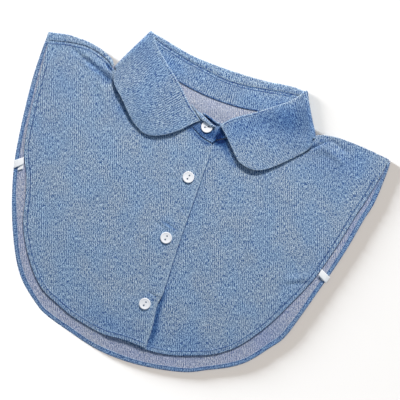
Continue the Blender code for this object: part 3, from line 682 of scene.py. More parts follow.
def stand_grid():
    """Rows run from the leaf's seam down to the neck seam."""
    _, right, left = neck_sides()
    u = shares(88, 110, finish=False)
    v = shares(18, 24)
    fronts = (
        stand_front(right, RIGHT_FOLD, 3, RIGHT_STAND_TOP, RIGHT_STAND_FRONT, RIGHT_STAND_LOWER,
                    TOP_TAB, right_front_base, u, v),
        stand_front(left, LEFT_FOLD, 2, LEFT_STAND_TOP, LEFT_STAND_FRONT, LEFT_STAND_LOWER,
                    UNDER_TAB, front_base, u, v),
    )
    back_top = FLOOR_LAYER + 2 * ROLL
    back_low = FLOOR_LAYER + LAYER + LAP
    bends = []
    for side, front in zip((right, left), fronts):
        first, last = side.below(side.seam + STAND_GAP), side.below(STAND_AT_SIDE)
        places = first + (last - first) * v[:, None]
        bends.append(side.bend(places, front[:, -1, 2], back_top + (back_low - back_top) * v))
    round_back = np.linspace(0, 1, 120)
    seam = np.array(BACK_SEAM) - (0, STAND_GAP)
    ends = [side.below(side.seam + STAND_GAP) for side in (right, left)]
    top = smooth_line(np.vstack([ends[0], seam, ends[1]]), round_back)
    low = np.vstack([right.below(STAND_AT_SIDE), BACK_STAND_LOWER, left.below(STAND_AT_SIDE)])
    low = smooth_line(low, round_back)
    start, end = smooth_line((top[0], low[0]), v), smooth_line((top[-1], low[-1]), v)
    plan = patch(top, low, start, end, round_back, v)
    inside = np.sin(np.pi * round_back) ** 0.5 * np.sin(np.pi * v)[:, None]
    swell = 0.5 + 0.3 * soft_waves(plan[..., 0], plan[..., 1], 26, 37)
    height = back_top + (back_low - back_top) * v[:, None] + swell * inside
    return ring(fronts, bends, with_height(plan, height))


def curl_grid(rows, width):
    """An arch from a foot line to an edge line: a cubic whose two handles stand above the foot."""
    rows = smooth_line(rows, shares(40, 34))
    foot, edge = rows[:, :3], rows[:, 3:]
    share = shares(12, width)[:, None, None]
    rise = (edge[:, 2:] - foot[:, 2:] + 0.5) * (0, 0, 1)
    first = foot + rise
    second = foot + rise + (edge - foot) * (0.55, 0.55, 0) + (0, 0, 0.5)
    return ((1 - share) ** 3 * foot + 3 * (1 - share) ** 2 * share * first
            + 3 * (1 - share) * share**2 * second + share**3 * edge)


def strap_grids(upper_corners, under_corners):
    """The loop's two sides, each a patch between four corners; the upper one is arched."""
    u, v = shares(12, 10), shares(8, 6)
    grids = []
    for corners, rise in ((upper_corners, STRAP_HEIGHT), (under_corners, STRAP_HEIGHT - STRAP_DROP)):
        a, b, c, d = np.array(corners)
        near = a * (1 - u[:, None]) + b * u[:, None]
        far = d * (1 - u[:, None]) + c * u[:, None]
        plan = near * (1 - v[:, None, None]) + far * v[:, None, None]
        out = np.abs(plan[..., 0])
        fall = 1.3 * ease((out - out.max() + 4.5) / 4.5)
        arch = STRAP_ARCH * np.sin(np.pi * u) + 0.1 * np.cos(np.pi * (v[:, None] - 0.5))
        grids.append(with_height(plan, rise + (arch if rise == STRAP_HEIGHT else 0.2 * arch) - fall))
    return grids


# Meshes


def normals_of(grid):
    """Unit normals of a grid: its way down crossed with its way along."""
    down, along = np.gradient(grid, axis=0), np.gradient(grid, axis=1)
    normal = np.cross(down, along)
    return normal / np.maximum(np.linalg.norm(normal, axis=2), 1e-12)[..., None]


def edge_fade(count, values, rest):
    """The values at both ends of a row, and the rest between them."""
    fade = np.full(count, float(rest))
    fade[: len(values)] = values
    fade[-len(values):] = values[::-1]
    return fade


def quads(index):
    """Faces of a grid of point numbers."""
    corners = index[:-1, :-1], index[1:, :-1], index[1:, 1:], index[:-1, 1:]
    return np.stack(corners, axis=-1).reshape(-1, 4)


def flat_map(grid):
    """Cloth coordinates of a laid panel: its plan, with the grain turned by the cut's angle."""
    turn = np.radians(GRAIN_TURN)
    x, y = grid[..., 0], grid[..., 1]
    weft = x * np.cos(turn) + y * np.sin(turn)
    warp = y * np.cos(turn) - x * np.sin(turn)
    return np.stack([weft, warp], axis=-1) * MM


def run_map(grid):
    """Cloth coordinates of a folded strip: its mean length along and down, from its own steps."""
    along = np.r_[0, np.cumsum(np.linalg.norm(np.diff(grid, axis=1), axis=2).mean(axis=0))]
    down = np.r_[0, np.cumsum(np.linalg.norm(np.diff(grid, axis=0), axis=2).mean(axis=1))]
    return np.stack(np.meshgrid(along, down), axis=-1) * MM


class Bundle:
    """Points, faces, cloth coordinates, and the wear and painted shade of the shells that make one piece."""

    def __init__(self):
        self.points, self.faces, self.marks, self.maps, self.worn_and_shaded = [], [], [], [], []
        self.count = 0

    def add(self, points, faces, mark, cloth_map, worn_and_shaded):
        """Keeps one shell, with its faces numbered after those before it."""
        self.points.append(points)
        self.faces.append(faces + self.count)
        self.marks.append(np.broadcast_to(mark, len(faces)))
        self.maps.append(cloth_map)
        self.worn_and_shaded.append(worn_and_shaded)
        self.count += len(points)

    def add_cloth(self, grid, thickness, cloth_map, flip=False, marks=(0, 1), wear_and_shade=None, deep=(),
                  rims=(1, 1)):
        """Both faces of a cloth stand half a thickness off the middle; they meet at the edges.

        The marks are the finishes of its faces, deep gives the places of painted shade, and of painted light
        where its depth is negative, and rims says whether the first and the last rows are worn.
        """
        rows, columns = grid.shape[:2]
        fade = np.minimum.outer(edge_fade(rows, EDGE_ROUND, 1), edge_fade(columns, EDGE_ROUND, 1))
        off = normals_of(grid) * (thickness / 2 * fade)[..., None] * (-1 if flip else 1)
        if wear_and_shade is None:
            down = edge_fade(rows, WORN_EDGE, 0) * np.linspace(rims[0], rims[1], rows).round()
            wear_and_shade = np.maximum.outer(down, edge_fade(columns, WORN_EDGE, 0))
        # The painted-shade bells lower this field below zero; negative depths raise it and paint light.
        wear_and_shade = wear_and_shade - painted_shade(grid, deep)
        upper = np.arange(rows * columns).reshape(rows, columns)
        lower = upper.copy()
        inner = (rows - 2) * (columns - 2)
        lower[1:-1, 1:-1] = rows * columns + np.arange(inner).reshape(rows - 2, columns - 2)
        points = np.vstack([(grid + off).reshape(-1, 3), (grid - off)[1:-1, 1:-1].reshape(-1, 3)])
        maps = np.vstack([cloth_map.reshape(-1, 2), cloth_map[1:-1, 1:-1].reshape(-1, 2)])
        worn_and_shaded = np.r_[wear_and_shade.reshape(-1), wear_and_shade[1:-1, 1:-1].reshape(-1)]
        above, below = quads(upper), quads(lower)[:, ::-1]
        if flip:
            above, below = above[:, ::-1], below[:, ::-1]
        mark = np.r_[np.full(len(above), marks[0]), np.full(len(below), marks[1])]
        self.add(points, np.vstack([above, below]), mark, maps, worn_and_shaded)

    def make(self, name, materials, node=None, slot="chambray"):
        """The finished object, in metres, which stands for its node."""
        points = (np.vstack(self.points) + (0, CENTRE_Y, 0)) * MM
        faces = np.vstack(self.faces)
        mesh = bpy.data.meshes.new(name)
        mesh.vertices.add(len(points))
        mesh.vertices.foreach_set("co", points.ravel())
        mesh.loops.add(faces.size)
        mesh.loops.foreach_set("vertex_index", faces.ravel().astype(np.int32))
        mesh.polygons.add(len(faces))
        mesh.polygons.foreach_set("loop_start", np.arange(0, faces.size, 4, dtype=np.int32))
        mesh.polygons.foreach_set("material_index", np.concatenate(self.marks).astype(np.int32))
        mesh.update(calc_edges=True)
        mesh.shade_smooth()
        layer = mesh.uv_layers.new(name="cloth")
        layer.data.foreach_set("uv", np.vstack(self.maps)[faces.ravel()].ravel())
        worn_and_shaded = mesh.attributes.new("wear_and_shade", "FLOAT", "POINT")
        worn_and_shaded.data.foreach_set("value", np.concatenate(self.worn_and_shaded))
        mesh.validate()
        for item in materials:
            mesh.materials.append(item)
        return place(bpy.data.objects.new(name, mesh), node, slot)


def group(name):
    """The collection of that name, by which a lamp picks what it lights or what stops it."""
    return bpy.data.collections.get(name) or bpy.data.collections.new(name)


def place(piece, node, slot):
    """Links a piece, which rides on the garment and stands for its node."""
    if piece.name not in bpy.context.scene.collection.objects:
        bpy.context.scene.collection.objects.link(piece)
    group("garment").objects.link(piece)
    if piece.name.endswith("_cloth"):
        high = piece.name.startswith("collar")
        group("high_blockers" if high else "low_blockers").objects.link(piece)
    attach(piece, "root")
    if node:
        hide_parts(node)
    return piece


def tube_rings(path, up, radii, sides, flatten=1.0):
    """Rings carried along a path: its sideways direction and its up direction, a circle of sides."""
    run = np.gradient(path, axis=0)
    run /= np.linalg.norm(run, axis=1)[:, None]
    side = np.cross(run, up)
    side /= np.linalg.norm(side, axis=1)[:, None]
    rise = np.cross(side, run)
    turn = 2 * np.pi * np.arange(sides) / sides
    radii = np.broadcast_to(radii, len(path))[:, None, None]
    level = side[:, None] * np.cos(turn)[:, None]
    return path[:, None] + radii * (level + flatten * rise[:, None] * np.sin(turn)[:, None])


def add_tube(bundle, path, up, radius, sides, flatten=1.0, mark=0):
    """A tube whose ends close down to a point."""
    radii = np.full(len(path), float(radius))
    radii[[0, -1]] = radius * 0.02
    rings = tube_rings(path, up, radii, sides, flatten)
    index = np.arange(rings.shape[0] * sides).reshape(-1, sides)
    index = np.hstack([index, index[:, :1]])
    faces = quads(index)[:, ::-1]
    count = rings.shape[0] * sides
    along = np.repeat(np.r_[0, np.cumsum(np.linalg.norm(np.diff(path, axis=0), axis=1))], sides)
    around = np.tile(np.arange(sides) * radius, rings.shape[0])
    cloth_map = np.column_stack([along, around]) * MM
    bundle.add(rings.reshape(-1, 3), faces, mark, cloth_map, np.zeros(count))


# One stitch. Columns: place along it, share of its thickness, drop at the ends.
STITCH = (
    (-1, 0.04, 0.9), (-0.9, 0.6, 0.5), (-0.5, 1, 0.05), (0.5, 1, 0.05), (0.9, 0.6, 0.5), (1, 0.04, 0.9),
)
STITCH_SIDES = 6


def add_stitches(bundle, path, up, mark, groove):
    """A row of equal stitches along a path, on a narrow dark strip with the next finish, painted as the shade of
    the groove under them.

    Each stitch is a capsule whose ends dip into the cloth; all of them are one array.
    """
    size = bpy.context.scene.collar_sizes
    pitch = size.stitch_pitch / MM
    length = np.r_[0, np.cumsum(np.linalg.norm(np.diff(path, axis=0), axis=1))]
    count = max(int(length[-1] / pitch), 2)
    middles = (np.arange(count) + 0.5) * length[-1] / count
    at = np.column_stack([np.interp(middles, length, axis) for axis in path.T])
    run = np.column_stack([np.interp(middles, length, axis) for axis in np.gradient(path, axis=0).T])
    run /= np.linalg.norm(run, axis=1)[:, None]
    rise = np.column_stack([np.interp(middles, length, axis) for axis in up.T])
    side = np.cross(run, rise)
    side /= np.linalg.norm(side, axis=1)[:, None]
    rise = np.cross(side, run)
    half = 0.32 * length[-1] / count
    radius = size.thread_thickness / MM / 2
    turn = 2 * np.pi * np.arange(STITCH_SIDES) / STITCH_SIDES
    shape = np.array(STITCH)
    out = shape[:, 1:2] * np.cos(turn), shape[:, 1:2] * np.sin(turn)
    points = (
        at[:, None, None] + run[:, None, None] * (half * shape[:, 0])[None, :, None, None]
        + side[:, None, None] * (radius * out[0])[None, ..., None]
        + rise[:, None, None] * (radius * (out[1] - shape[:, 2:3]))[None, ..., None]
    )
    rings = len(shape)
    index = np.arange(rings * STITCH_SIDES).reshape(rings, STITCH_SIDES)
    one = quads(np.hstack([index, index[:, :1]]))[:, ::-1]
    faces = (one[None] + (np.arange(count) * rings * STITCH_SIDES)[:, None, None]).reshape(-1, 4)
    points = points.reshape(-1, 3)
    bundle.add(points, faces, mark, points[:, :2] * MM, np.zeros(len(points)))
    fine = np.linspace(0, length[-1], max(int(length[-1] / 1.2), 8))
    line = np.column_stack([np.interp(fine, length, axis) for axis in path.T])
    high = np.column_stack([np.interp(fine, length, axis) for axis in up.T])
    # A flat dark tube just above the cloth, painted as the groove's shade.
    add_tube(bundle, line + 0.04 * high, high, groove / 2, 8, 0.3, mark + 1)


def on_grid(grid, row, columns, thickness, flip=False):
    """Points on a cloth's face, at a row and columns that may be fractions, and its normals there."""
    normal = normals_of(grid) * (-1 if flip else 1)
    row = np.broadcast_to(row, len(columns))
    r, c = np.floor(row).astype(int), np.floor(columns).astype(int)
    r, c = np.minimum(r, grid.shape[0] - 2), np.minimum(c, grid.shape[1] - 2)
    p, q = (row - r)[:, None], (columns - c)[:, None]

    def read(field):
        return ((1 - p) * ((1 - q) * field[r, c] + q * field[r, c + 1])
                + p * ((1 - q) * field[r + 1, c] + q * field[r + 1, c + 1]))

    up = read(normal)
    up /= np.linalg.norm(up, axis=1)[:, None]
    return read(grid) + up * thickness / 2, up


def over_plan(plan, height, thickness):
    """Points on top of a laid cloth above a plan line, and its normals there."""
    step = 0.4
    x, y = plan.T
    slope_x = (height(x + step, y) - height(x - step, y)) / (2 * step)
    slope_y = (height(x, y + step) - height(x, y - step)) / (2 * step)
    up = np.column_stack([-slope_x, -slope_y, np.ones(len(x))])
    up /= np.linalg.norm(up, axis=1)[:, None]
    return np.column_stack([plan, height(x, y)]) + up * thickness / 2, up


# Finishes


class Finish:
    """A material being made: short ways to add nodes and join them."""

    def __init__(self, name):
        self.material = bpy.data.materials.new(name)
        self.material.use_nodes = True
        self.tree = self.material.node_tree
        self.shader = self.tree.nodes["Principled BSDF"]

    def put(self, socket, value):
        if isinstance(value, bpy.types.NodeSocket):
            self.tree.links.new(value, socket)
        else:
            socket.default_value = value

    def add(self, kind, inputs=(), **settings):
        node = self.tree.nodes.new(kind)
        for key, value in settings.items():
            setattr(node, key, value)
        for socket, value in inputs:
            self.put(node.inputs[socket], value)
        return node

    def math(self, operation, first, second=0.0, third=0.0):
        return self.add("ShaderNodeMath", ((0, first), (1, second), (2, third)), operation=operation).outputs[0]

    def mix(self, share, first, second, way="MIX"):
        made = self.add("ShaderNodeMix", data_type="RGBA", blend_type=way)
        for socket, value in ((0, share), (6, first), (7, second)):
            self.put(made.inputs[socket], value)
        return made.outputs[2]

    def noise(self, vector, stretch, detail=2.0, place=(0, 0, 0)):
        """Noise whose grains have the given lengths in metres."""
        scale = tuple(1 / s for s in stretch)
        mapped = self.add("ShaderNodeMapping", (("Vector", vector), ("Scale", scale), ("Location", place)))
        made = self.add("ShaderNodeTexNoise", (("Vector", mapped.outputs[0]), ("Scale", 1.0), ("Detail", detail)))
        return made.outputs["Fac"]

    def ramp(self, share, stops):
        made = self.add("ShaderNodeValToRGB", ((0, share),))
        ramp = made.color_ramp
        while len(ramp.elements) < len(stops):
            ramp.elements.new(0.5)
        for element, (place, colour) in zip(ramp.elements, stops):
            element.position = place
            element.color = (*colour, 1)
        return made.outputs[0]

    def bump(self, height, distance, strength=1.0, normal=None):
        made = self.add("ShaderNodeBump", (("Height", height), ("Distance", distance), ("Strength", strength)))
        if normal is not None:
            self.put(made.inputs["Normal"], normal)
        return made.outputs[0]

    def finish(self, colour, roughness, normal=None, **plain):
        self.put(self.shader.inputs["Base Color"], colour)
        self.put(self.shader.inputs["Roughness"], roughness)
        if normal is not None:
            self.put(self.shader.inputs["Normal"], normal)
        for name, value in plain.items():
            self.put(self.shader.inputs[name.replace("_", " ")], value)
        return self.material


def plain_weave(name, dark, middle, pale, patch_dark, patch_pale, contrast):
    """Plain weave of coloured warp and pale weft.

    The yarns are a product of two sines. Slubs are stretched noise, long down the warp for
    the dark ones and along the weft for the pale ones. Slow patches shift the whole colour.
    """
    if name in bpy.data.materials:
        return bpy.data.materials[name]
    make = Finish(name)
    cloth = make.add("ShaderNodeUVMap", uv_map="cloth").outputs["UV"]
    parts = make.add("ShaderNodeSeparateXYZ", ((0, cloth),))
    turn = 2 * np.pi / (2 * YARN)
    warp = make.math("SINE", make.math("MULTIPLY", parts.outputs[0], turn))
    weft = make.math("SINE", make.math("MULTIPLY", parts.outputs[1], turn))
    weave = make.math("MULTIPLY", warp, weft)
    long_slub = make.noise(cloth, (0.0005, 0.0030, 1), 1.0)
    cross_slub = make.noise(cloth, (0.0012, 0.0005, 1), 0.0, (3.1, 7.7, 0))
    grain = make.noise(cloth, (0.0005, 0.0006, 1), 0.0, (9.2, 1.3, 0))
    slow = make.noise(cloth, (0.024, 0.034, 1), 1.0, (5.4, 2.2, 0))
    band = make.noise(cloth, (0.016, 0.05, 1), 0.0, (1.7, 4.1, 0))
    waver = make.math("MULTIPLY_ADD", slow, 0.004, parts.outputs[0])
    rib = make.math("SINE", make.math("MULTIPLY", waver, 2 * np.pi / RIB))
    dash = make.noise(cloth, (0.0016, 0.0030, 1), 0.0, (6.1, 2.9, 0))
    band = make.math("MULTIPLY", make.math("MAXIMUM", make.math("SUBTRACT", band, 0.25), 0.0), dash)
    rib = make.math("MULTIPLY", rib, band)
    fleck = make.math("MULTIPLY_ADD", make.math("SUBTRACT", long_slub, 0.5), contrast, 0.5)
    fleck = make.math("MULTIPLY_ADD", make.math("SUBTRACT", cross_slub, 0.5), contrast * 0.6, fleck)
    fleck = make.math("MULTIPLY_ADD", make.math("SUBTRACT", grain, 0.5), contrast * 0.8, fleck)
    fleck = make.math("MULTIPLY_ADD", rib, 0.45 * contrast, fleck)
    fleck = make.math("MULTIPLY_ADD", weave, 0.07, fleck)
    colour = make.ramp(fleck, ((0.0, dark), (0.5, middle), (1.0, pale)))
    shift = make.ramp(slow, ((0.36, patch_dark), (0.64, patch_pale)))
    colour = make.mix(1.0, colour, shift, "MULTIPLY")
    worn_and_shaded = make.add("ShaderNodeAttribute", attribute_name="wear_and_shade").outputs["Fac"]
    # Positive values mix in the pale weft: edge wear, and painted light where a table's depth is negative.
    colour = make.mix(make.math("MULTIPLY", make.math("MAXIMUM", worn_and_shaded, 0.0), 0.34), colour, (*pale, 1))
    # Negative values are painted shade: the colour is multiplied towards blue, and towards dark navy past 0.45.
    deep = make.math("MULTIPLY", worn_and_shaded, -1.0)
    share = make.math("MINIMUM", make.math("MAXIMUM", deep, 0.0), 1.0)
    colour = make.mix(share, colour, (0.25, 0.50, 0.85, 1), "MULTIPLY")
    share = make.math("MINIMUM", make.math("MAXIMUM", make.math("SUBTRACT", deep, 0.45), 0.0), 1.0)
    colour = make.mix(share, colour, (0.10, 0.15, 0.26, 1), "MULTIPLY")
    relief = make.math("MULTIPLY_ADD", weave, 0.35, fleck)
    normal = make.bump(relief, 0.00012, 0.7)
    roughness = make.math("MULTIPLY_ADD", fleck, -0.12, 0.93)
    return make.finish(colour, roughness, normal, Sheen_Weight=0.05, Sheen_Roughness=0.5,
                       Sheen_Tint=(0.6, 0.75, 1.0, 1.0), Specular_IOR_Level=0.12)


def chambray():
    """The cloth's right side."""
    tint = bpy.context.scene.collar_colours
    return plain_weave("chambray_face", tint.warp, tint.cloth, tint.weft,
                       (0.91, 0.975, 1.03), (1.07, 1.025, 0.99), 8.4)


def chambray_inside():
    """The cloth's paler wrong side."""
    tint = bpy.context.scene.collar_colours
    return plain_weave("chambray_wrong_side", tint.inside_dark, tint.inside, tint.inside_pale,
                       (0.96, 0.97, 1.01), (1.04, 1.03, 0.99), 7.0)


def thread(name, colour):
    """Twisted sewing thread: fine bands across a noise of lint."""
    if name in bpy.data.materials:
        return bpy.data.materials[name]
    make = Finish(name)
    spot = make.add("ShaderNodeTexCoord").outputs["Object"]
    lint = make.noise(spot, (0.0006, 0.0006, 0.0006), 2.0)
    twist = make.add("ShaderNodeTexWave", (("Vector", spot), ("Scale", 900.0), ("Distortion", 1.0)),
                     bands_direction="DIAGONAL").outputs["Fac"]
    pale = tuple(min(1.0, c * 1.5 + 0.03) for c in colour)
    shade = make.mix(make.math("MULTIPLY", lint, 0.8), (*colour, 1), (*pale, 1))
    normal = make.bump(twist, 0.00005, 0.6)
    roughness = make.math("MULTIPLY_ADD", lint, 0.2, 0.6)
    return make.finish(shade, roughness, normal, Sheen_Weight=0.1, Sheen_Roughness=0.5)


def needle_groove():
    """Painted shade of the groove that a row of stitches pulls into the cloth, darker at the needle holes."""
    name = "needle_groove"
    if name in bpy.data.materials:
        return bpy.data.materials[name]
    tint = bpy.context.scene.collar_colours
    make = Finish(name)
    spot = make.add("ShaderNodeTexCoord").outputs["Object"]
    holes = make.noise(spot, (0.0016, 0.0016, 0.0016), 2.0)
    shade = make.ramp(holes, ((0.35, tint.groove), (0.68, tint.cloth)))
    return make.finish(shade, make.math("MULTIPLY_ADD", holes, 0.1, 0.85), make.bump(holes, 0.0002, 0.6),
                       Specular_IOR_Level=0.1)


def button_resin():
    """White resin with a faint cloud, a satin polish and hairline scratches."""
    name = "button_resin"
    if name in bpy.data.materials:
        return bpy.data.materials[name]
    tint = bpy.context.scene.collar_colours
    make = Finish(name)
    spot = make.add("ShaderNodeTexCoord").outputs["Object"]
    cloud = make.noise(spot, (0.004, 0.004, 0.004), 3.0)
    scratch = make.noise(spot, (0.0002, 0.003, 0.003), 2.0)
    deep = tuple(c * 0.9 for c in tint.button)
    shade = make.mix(cloud, (*deep, 1), (*tint.button, 1))
    roughness = make.math("MULTIPLY_ADD", scratch, 0.2, 0.22)
    return make.finish(shade, roughness, make.bump(scratch, 0.00002, 0.4),
                       Specular_IOR_Level=0.5)


def elastic_ribs():
    """Knitted elastic: ribs along its run, crossed by fine courses."""
    name = "elastic_ribs"
    if name in bpy.data.materials:
        return bpy.data.materials[name]
    tint = bpy.context.scene.collar_colours
    make = Finish(name)
    cloth = make.add("ShaderNodeUVMap", uv_map="cloth").outputs["UV"]
    parts = make.add("ShaderNodeSeparateXYZ", ((0, cloth),))
    rib = make.math("SINE", make.math("MULTIPLY", parts.outputs[1], 2 * np.pi / 0.0009))
    course = make.math("SINE", make.math("MULTIPLY", parts.outputs[0], 2 * np.pi / 0.0005))
    relief = make.math("MULTIPLY_ADD", course, 0.35, rib)
    lint = make.noise(cloth, (0.0015, 0.0015, 1), 3.0)
    deep = tuple(c * 0.9 for c in tint.elastic)
    share = make.math("MULTIPLY_ADD", relief, 0.22, make.math("MULTIPLY_ADD", lint, 0.5, 0.4))
    shade = make.mix(share, (*deep, 1), (*tint.elastic, 1))
    return make.finish(shade, make.math("MULTIPLY_ADD", lint, 0.15, 0.75), make.bump(relief, 0.00006, 0.5),
                       Sheen_Weight=0.15, Sheen_Roughness=0.5)


# Settings that a user would change


def length_setting(name, description, default):
    return bpy.props.FloatProperty(
        name=name, description=description, default=default, min=0.0, unit="LENGTH", precision=5)


def colour_setting(name, description, default):
    return bpy.props.FloatVectorProperty(
        name=name, description=description, default=default, min=0.0, max=1.0, size=3, subtype="COLOR")


class CollarSizes(bpy.types.PropertyGroup):
    cloth_thickness: length_setting("Cloth", "Thickness of the panels", 0.0008)
    leaf_thickness: length_setting("Leaf", "Thickness of the leaf and the stand", 0.001)
    wave_height: length_setting("Waves", "Height of the long soft waves in the fronts", 0.0002)
    pucker_height: length_setting("Pucker", "Height of the pucker beside a hem", 0.00016)
    stitch_pitch: length_setting("Stitch", "Length of one stitch and its gap", 0.0024)
    thread_thickness: length_setting("Thread", "Thickness of the sewing thread", 0.00038)


class CollarColours(bpy.types.PropertyGroup):
    warp: colour_setting("Warp", "Dark blue slubs", (0.028, 0.090, 0.265))
    cloth: colour_setting("Cloth", "Chambray seen from afar", (0.171, 0.300, 0.487))
    weft: colour_setting("Weft", "Pale slubs", (0.56, 0.69, 0.80))
    inside_dark: colour_setting("Inside, dark", "Dark specks of the wrong side", (0.15, 0.19, 0.34))
    inside: colour_setting("Inside", "Wrong side seen from afar", (0.315, 0.405, 0.63))
    inside_pale: colour_setting("Inside, pale", "Pale specks of the wrong side", (0.66, 0.67, 0.74))
    stitching: colour_setting("Stitching", "Thread of the seams", (0.15, 0.25, 0.46))
    # Colour of the painted shade in the groove under a row of stitches.
    groove: colour_setting("Groove", "Shaded groove under a row of stitches", (0.004, 0.028, 0.18))
    button: colour_setting("Buttons", "Resin of the buttons", (0.97, 0.955, 0.965))
    elastic: colour_setting("Elastic", "Side elastic", (0.97, 0.965, 0.965))
    floor: colour_setting("Floor", "Studio floor", (0.60, 0.60, 0.60))


class PieceOperator(bpy.types.Operator):
    """Base of the operators: settings and finishes that they share."""

    bl_options = {"REGISTER", "UNDO"}

    @property
    def cloth(self):
        return bpy.context.scene.collar_sizes.cloth_thickness / MM

    @property
    def leaf(self):
        return bpy.context.scene.collar_sizes.leaf_thickness / MM

    def threads(self):
        return [thread("seam_thread", tuple(bpy.context.scene.collar_colours.stitching)), needle_groove()]


class COLLAR_OT_back_panel(PieceOperator):
    """Back panel, wrong side up, with the strip that comes over the left shoulder, and its hem"""

    bl_idname = "collar.back_panel"
    bl_label = "Back panel"

    def execute(self, context):
        main, strip, hem = back_panel_grid(), shoulder_grid(), hem_grid()
        both = [chambray(), chambray_inside()]
        bundle = Bundle()
        bundle.add_cloth(main, self.cloth, flat_map(main), marks=(1, 0), deep=BACK_SHADE_AND_LIGHT)
        bundle.add_cloth(strip, self.cloth, flat_map(strip), marks=(0, 1), rims=(1, 0))
        back = bundle.make("back_panel_cloth", both, "back_panel", "chambray_inside")
        bundle = Bundle()
        bundle.add_cloth(hem, self.cloth, run_map(hem), marks=(0, 1), deep=HEM_DARKENING)
        columns = np.arange(4, hem.shape[1] - 4, 1.0)
        self.stitch_hem(bundle, hem, columns)
        edge = bundle.make("back_hem_cloth", both + self.threads(), "back_hem")
        return {"FINISHED"}

    def stitch_hem(self, bundle, hem, columns):
        """One row near the hem's inner edge."""
        path, up = on_grid(hem, 5.2, columns, self.cloth)
        add_stitches(bundle, path, up, mark=2, groove=0.8)


class COLLAR_OT_fronts(PieceOperator):
    """Right and left front, laid over the back, with their hems and topstitching"""

    bl_idname = "collar.fronts"
    bl_label = "Fronts"

    def execute(self, context):
        both = [chambray(), chambray_inside()] + self.threads()
        for name, grid, height, outer, deep in (
            ("right_front", right_front_grid(), right_front_height, RIGHT_FRONT_OUTER, RIGHT_FRONT_SHADE),
            ("left_front", left_front_grid(), left_front_height, LEFT_FRONT_OUTER, LEFT_FRONT_SHADE),
        ):
            bundle = Bundle()
            bundle.add_cloth(grid, self.cloth, flat_map(grid), deep=deep, rims=(0, 0))
            line = smooth_line(outer, np.linspace(0.004, 0.996, 500))
            line = line - across(line) * HEM_STITCH
            path, up = over_plan(line, lambda x, y: height(x, y, HEM_STITCH), self.cloth)
            add_stitches(bundle, path, up, mark=2, groove=0.85)
            if name == "left_front":
                self.shade_placket(bundle)
            if name == "right_front":
                self.stitch_shoulder(bundle)
                self.stitch_neck(bundle)
            front = bundle.make(name + "_cloth", both, name)
        return {"FINISHED"}

    def shade_placket(self, bundle):
        """A dark strip in the groove's painted shade, laid on the left front just beside the edge of the top
        placket as its shadow.
        """
        line = smooth_line(PLACKET_EDGE, np.linspace(0.04, 0.985, 300)) + (0.35, 0)
        path, up = over_plan(line, lambda x, y: left_front_height(x, y, INSIDE), self.cloth)
        add_tube(bundle, path, up, 0.6, 6, flatten=0.3, mark=3)

    def stitch_shoulder(self, bundle):
        """Topstitching just below the shoulder seam."""
        seam = smooth_line(SHOULDER_SEAM, np.linspace(0.05, 0.97, 160))
        path, up = over_plan(seam - (0, TOPSTITCH), lambda x, y: right_front_height(x, y, INSIDE), self.cloth)
        add_stitches(bundle, path, up, mark=2, groove=0.9)

    def stitch_neck(self, bundle):
        """Topstitching just below the neck seam."""
        line = smooth_line(RIGHT_STAND_LOWER[:4], np.linspace(0.0, 1, 60)) - (0, TOPSTITCH)
        path, up = over_plan(line, lambda x, y: right_front_height(x, y, INSIDE), self.cloth)
        add_stitches(bundle, path, up, mark=2, groove=0.9)


class COLLAR_OT_stand(PieceOperator):
    """Collar stand round the neck, with its curled upper edge over the tab"""

    bl_idname = "collar.stand"
    bl_label = "Stand"

    def execute(self, context):
        grid = stand_grid()
        curls = curl_grid(TOP_CURL, 6), curl_grid(UNDER_CURL, 4)
        bundle = Bundle()
        bundle.add_cloth(grid, self.leaf, run_map(grid), flip=True, marks=(0, 0),
                         wear_and_shade=np.zeros(grid.shape[:2]), deep=STAND_SHADE)
        bundle.add_cloth(curls[0], 0.7, run_map(curls[0]), marks=(0, 0))
        bundle.add_cloth(curls[1], 0.7, run_map(curls[1]), marks=(0, 0), deep=STAND_SHADE)
        path, up = on_grid(grid, 19.5, np.arange(4, 44, 0.5), self.leaf, True)
        add_stitches(bundle, path, up, mark=1, groove=0.7)
        turned = grid.swapaxes(0, 1)
        path, up = on_grid(turned, 5.2, np.arange(5, 20, 0.5), self.leaf)
        add_stitches(bundle, path, up, mark=1, groove=0.7)
        back = np.arange(110, grid.shape[1] - 110, 1.0)
        for row in (0.4, 4.6, 21.6):
            path, up = on_grid(grid, row, back, self.leaf)
            add_stitches(bundle, path, up, mark=1, groove=0.9)
        path, up = on_grid(curls[0], 12.0, np.arange(4, 42, 0.5), 0.7)
        add_stitches(bundle, path, up, mark=1, groove=0.7)
        stand = bundle.make("collar_stand_cloth", [chambray()] + self.threads(), "collar_stand")
        return {"FINISHED"}


class COLLAR_OT_leaf(PieceOperator):
    """Collar leaf, rolled over the stand and folded at both sides of the neck"""

    bl_idname = "collar.leaf"
    bl_label = "Leaf"

    def execute(self, context):
        grid = leaf_grid()
        bundle = Bundle()
        rows = np.arange(grid.shape[0])[:, None]
        # A paler band along the top of the roll and pale edges; painted shade comes from the leaf's table.
        wear_and_shade = 0.75 * np.exp(-(((rows - 16) / 4.0) ** 2)) + 0 * grid[..., 0]
        fade = edge_fade(grid.shape[1], WORN_EDGE, 0), edge_fade(grid.shape[0], WORN_EDGE, 0)
        wear_and_shade = np.maximum(np.maximum(wear_and_shade, fade[0][None]), fade[1][:, None])
        bundle.add_cloth(grid, self.leaf, run_map(grid), flip=True, marks=(0, 0), wear_and_shade=wear_and_shade, deep=LEAF_SHADE)
        for columns in (np.arange(4, 60, 0.5), grid.shape[1] - 1 - np.arange(4, 52, 0.5)):
            path, up = on_grid(grid, 20.4, columns, self.leaf, True)
            add_stitches(bundle, path, up, mark=1, groove=0.85)
        leaf = bundle.make("collar_leaf_cloth", [chambray()] + self.threads(), "collar_leaf")
        return {"FINISHED"}


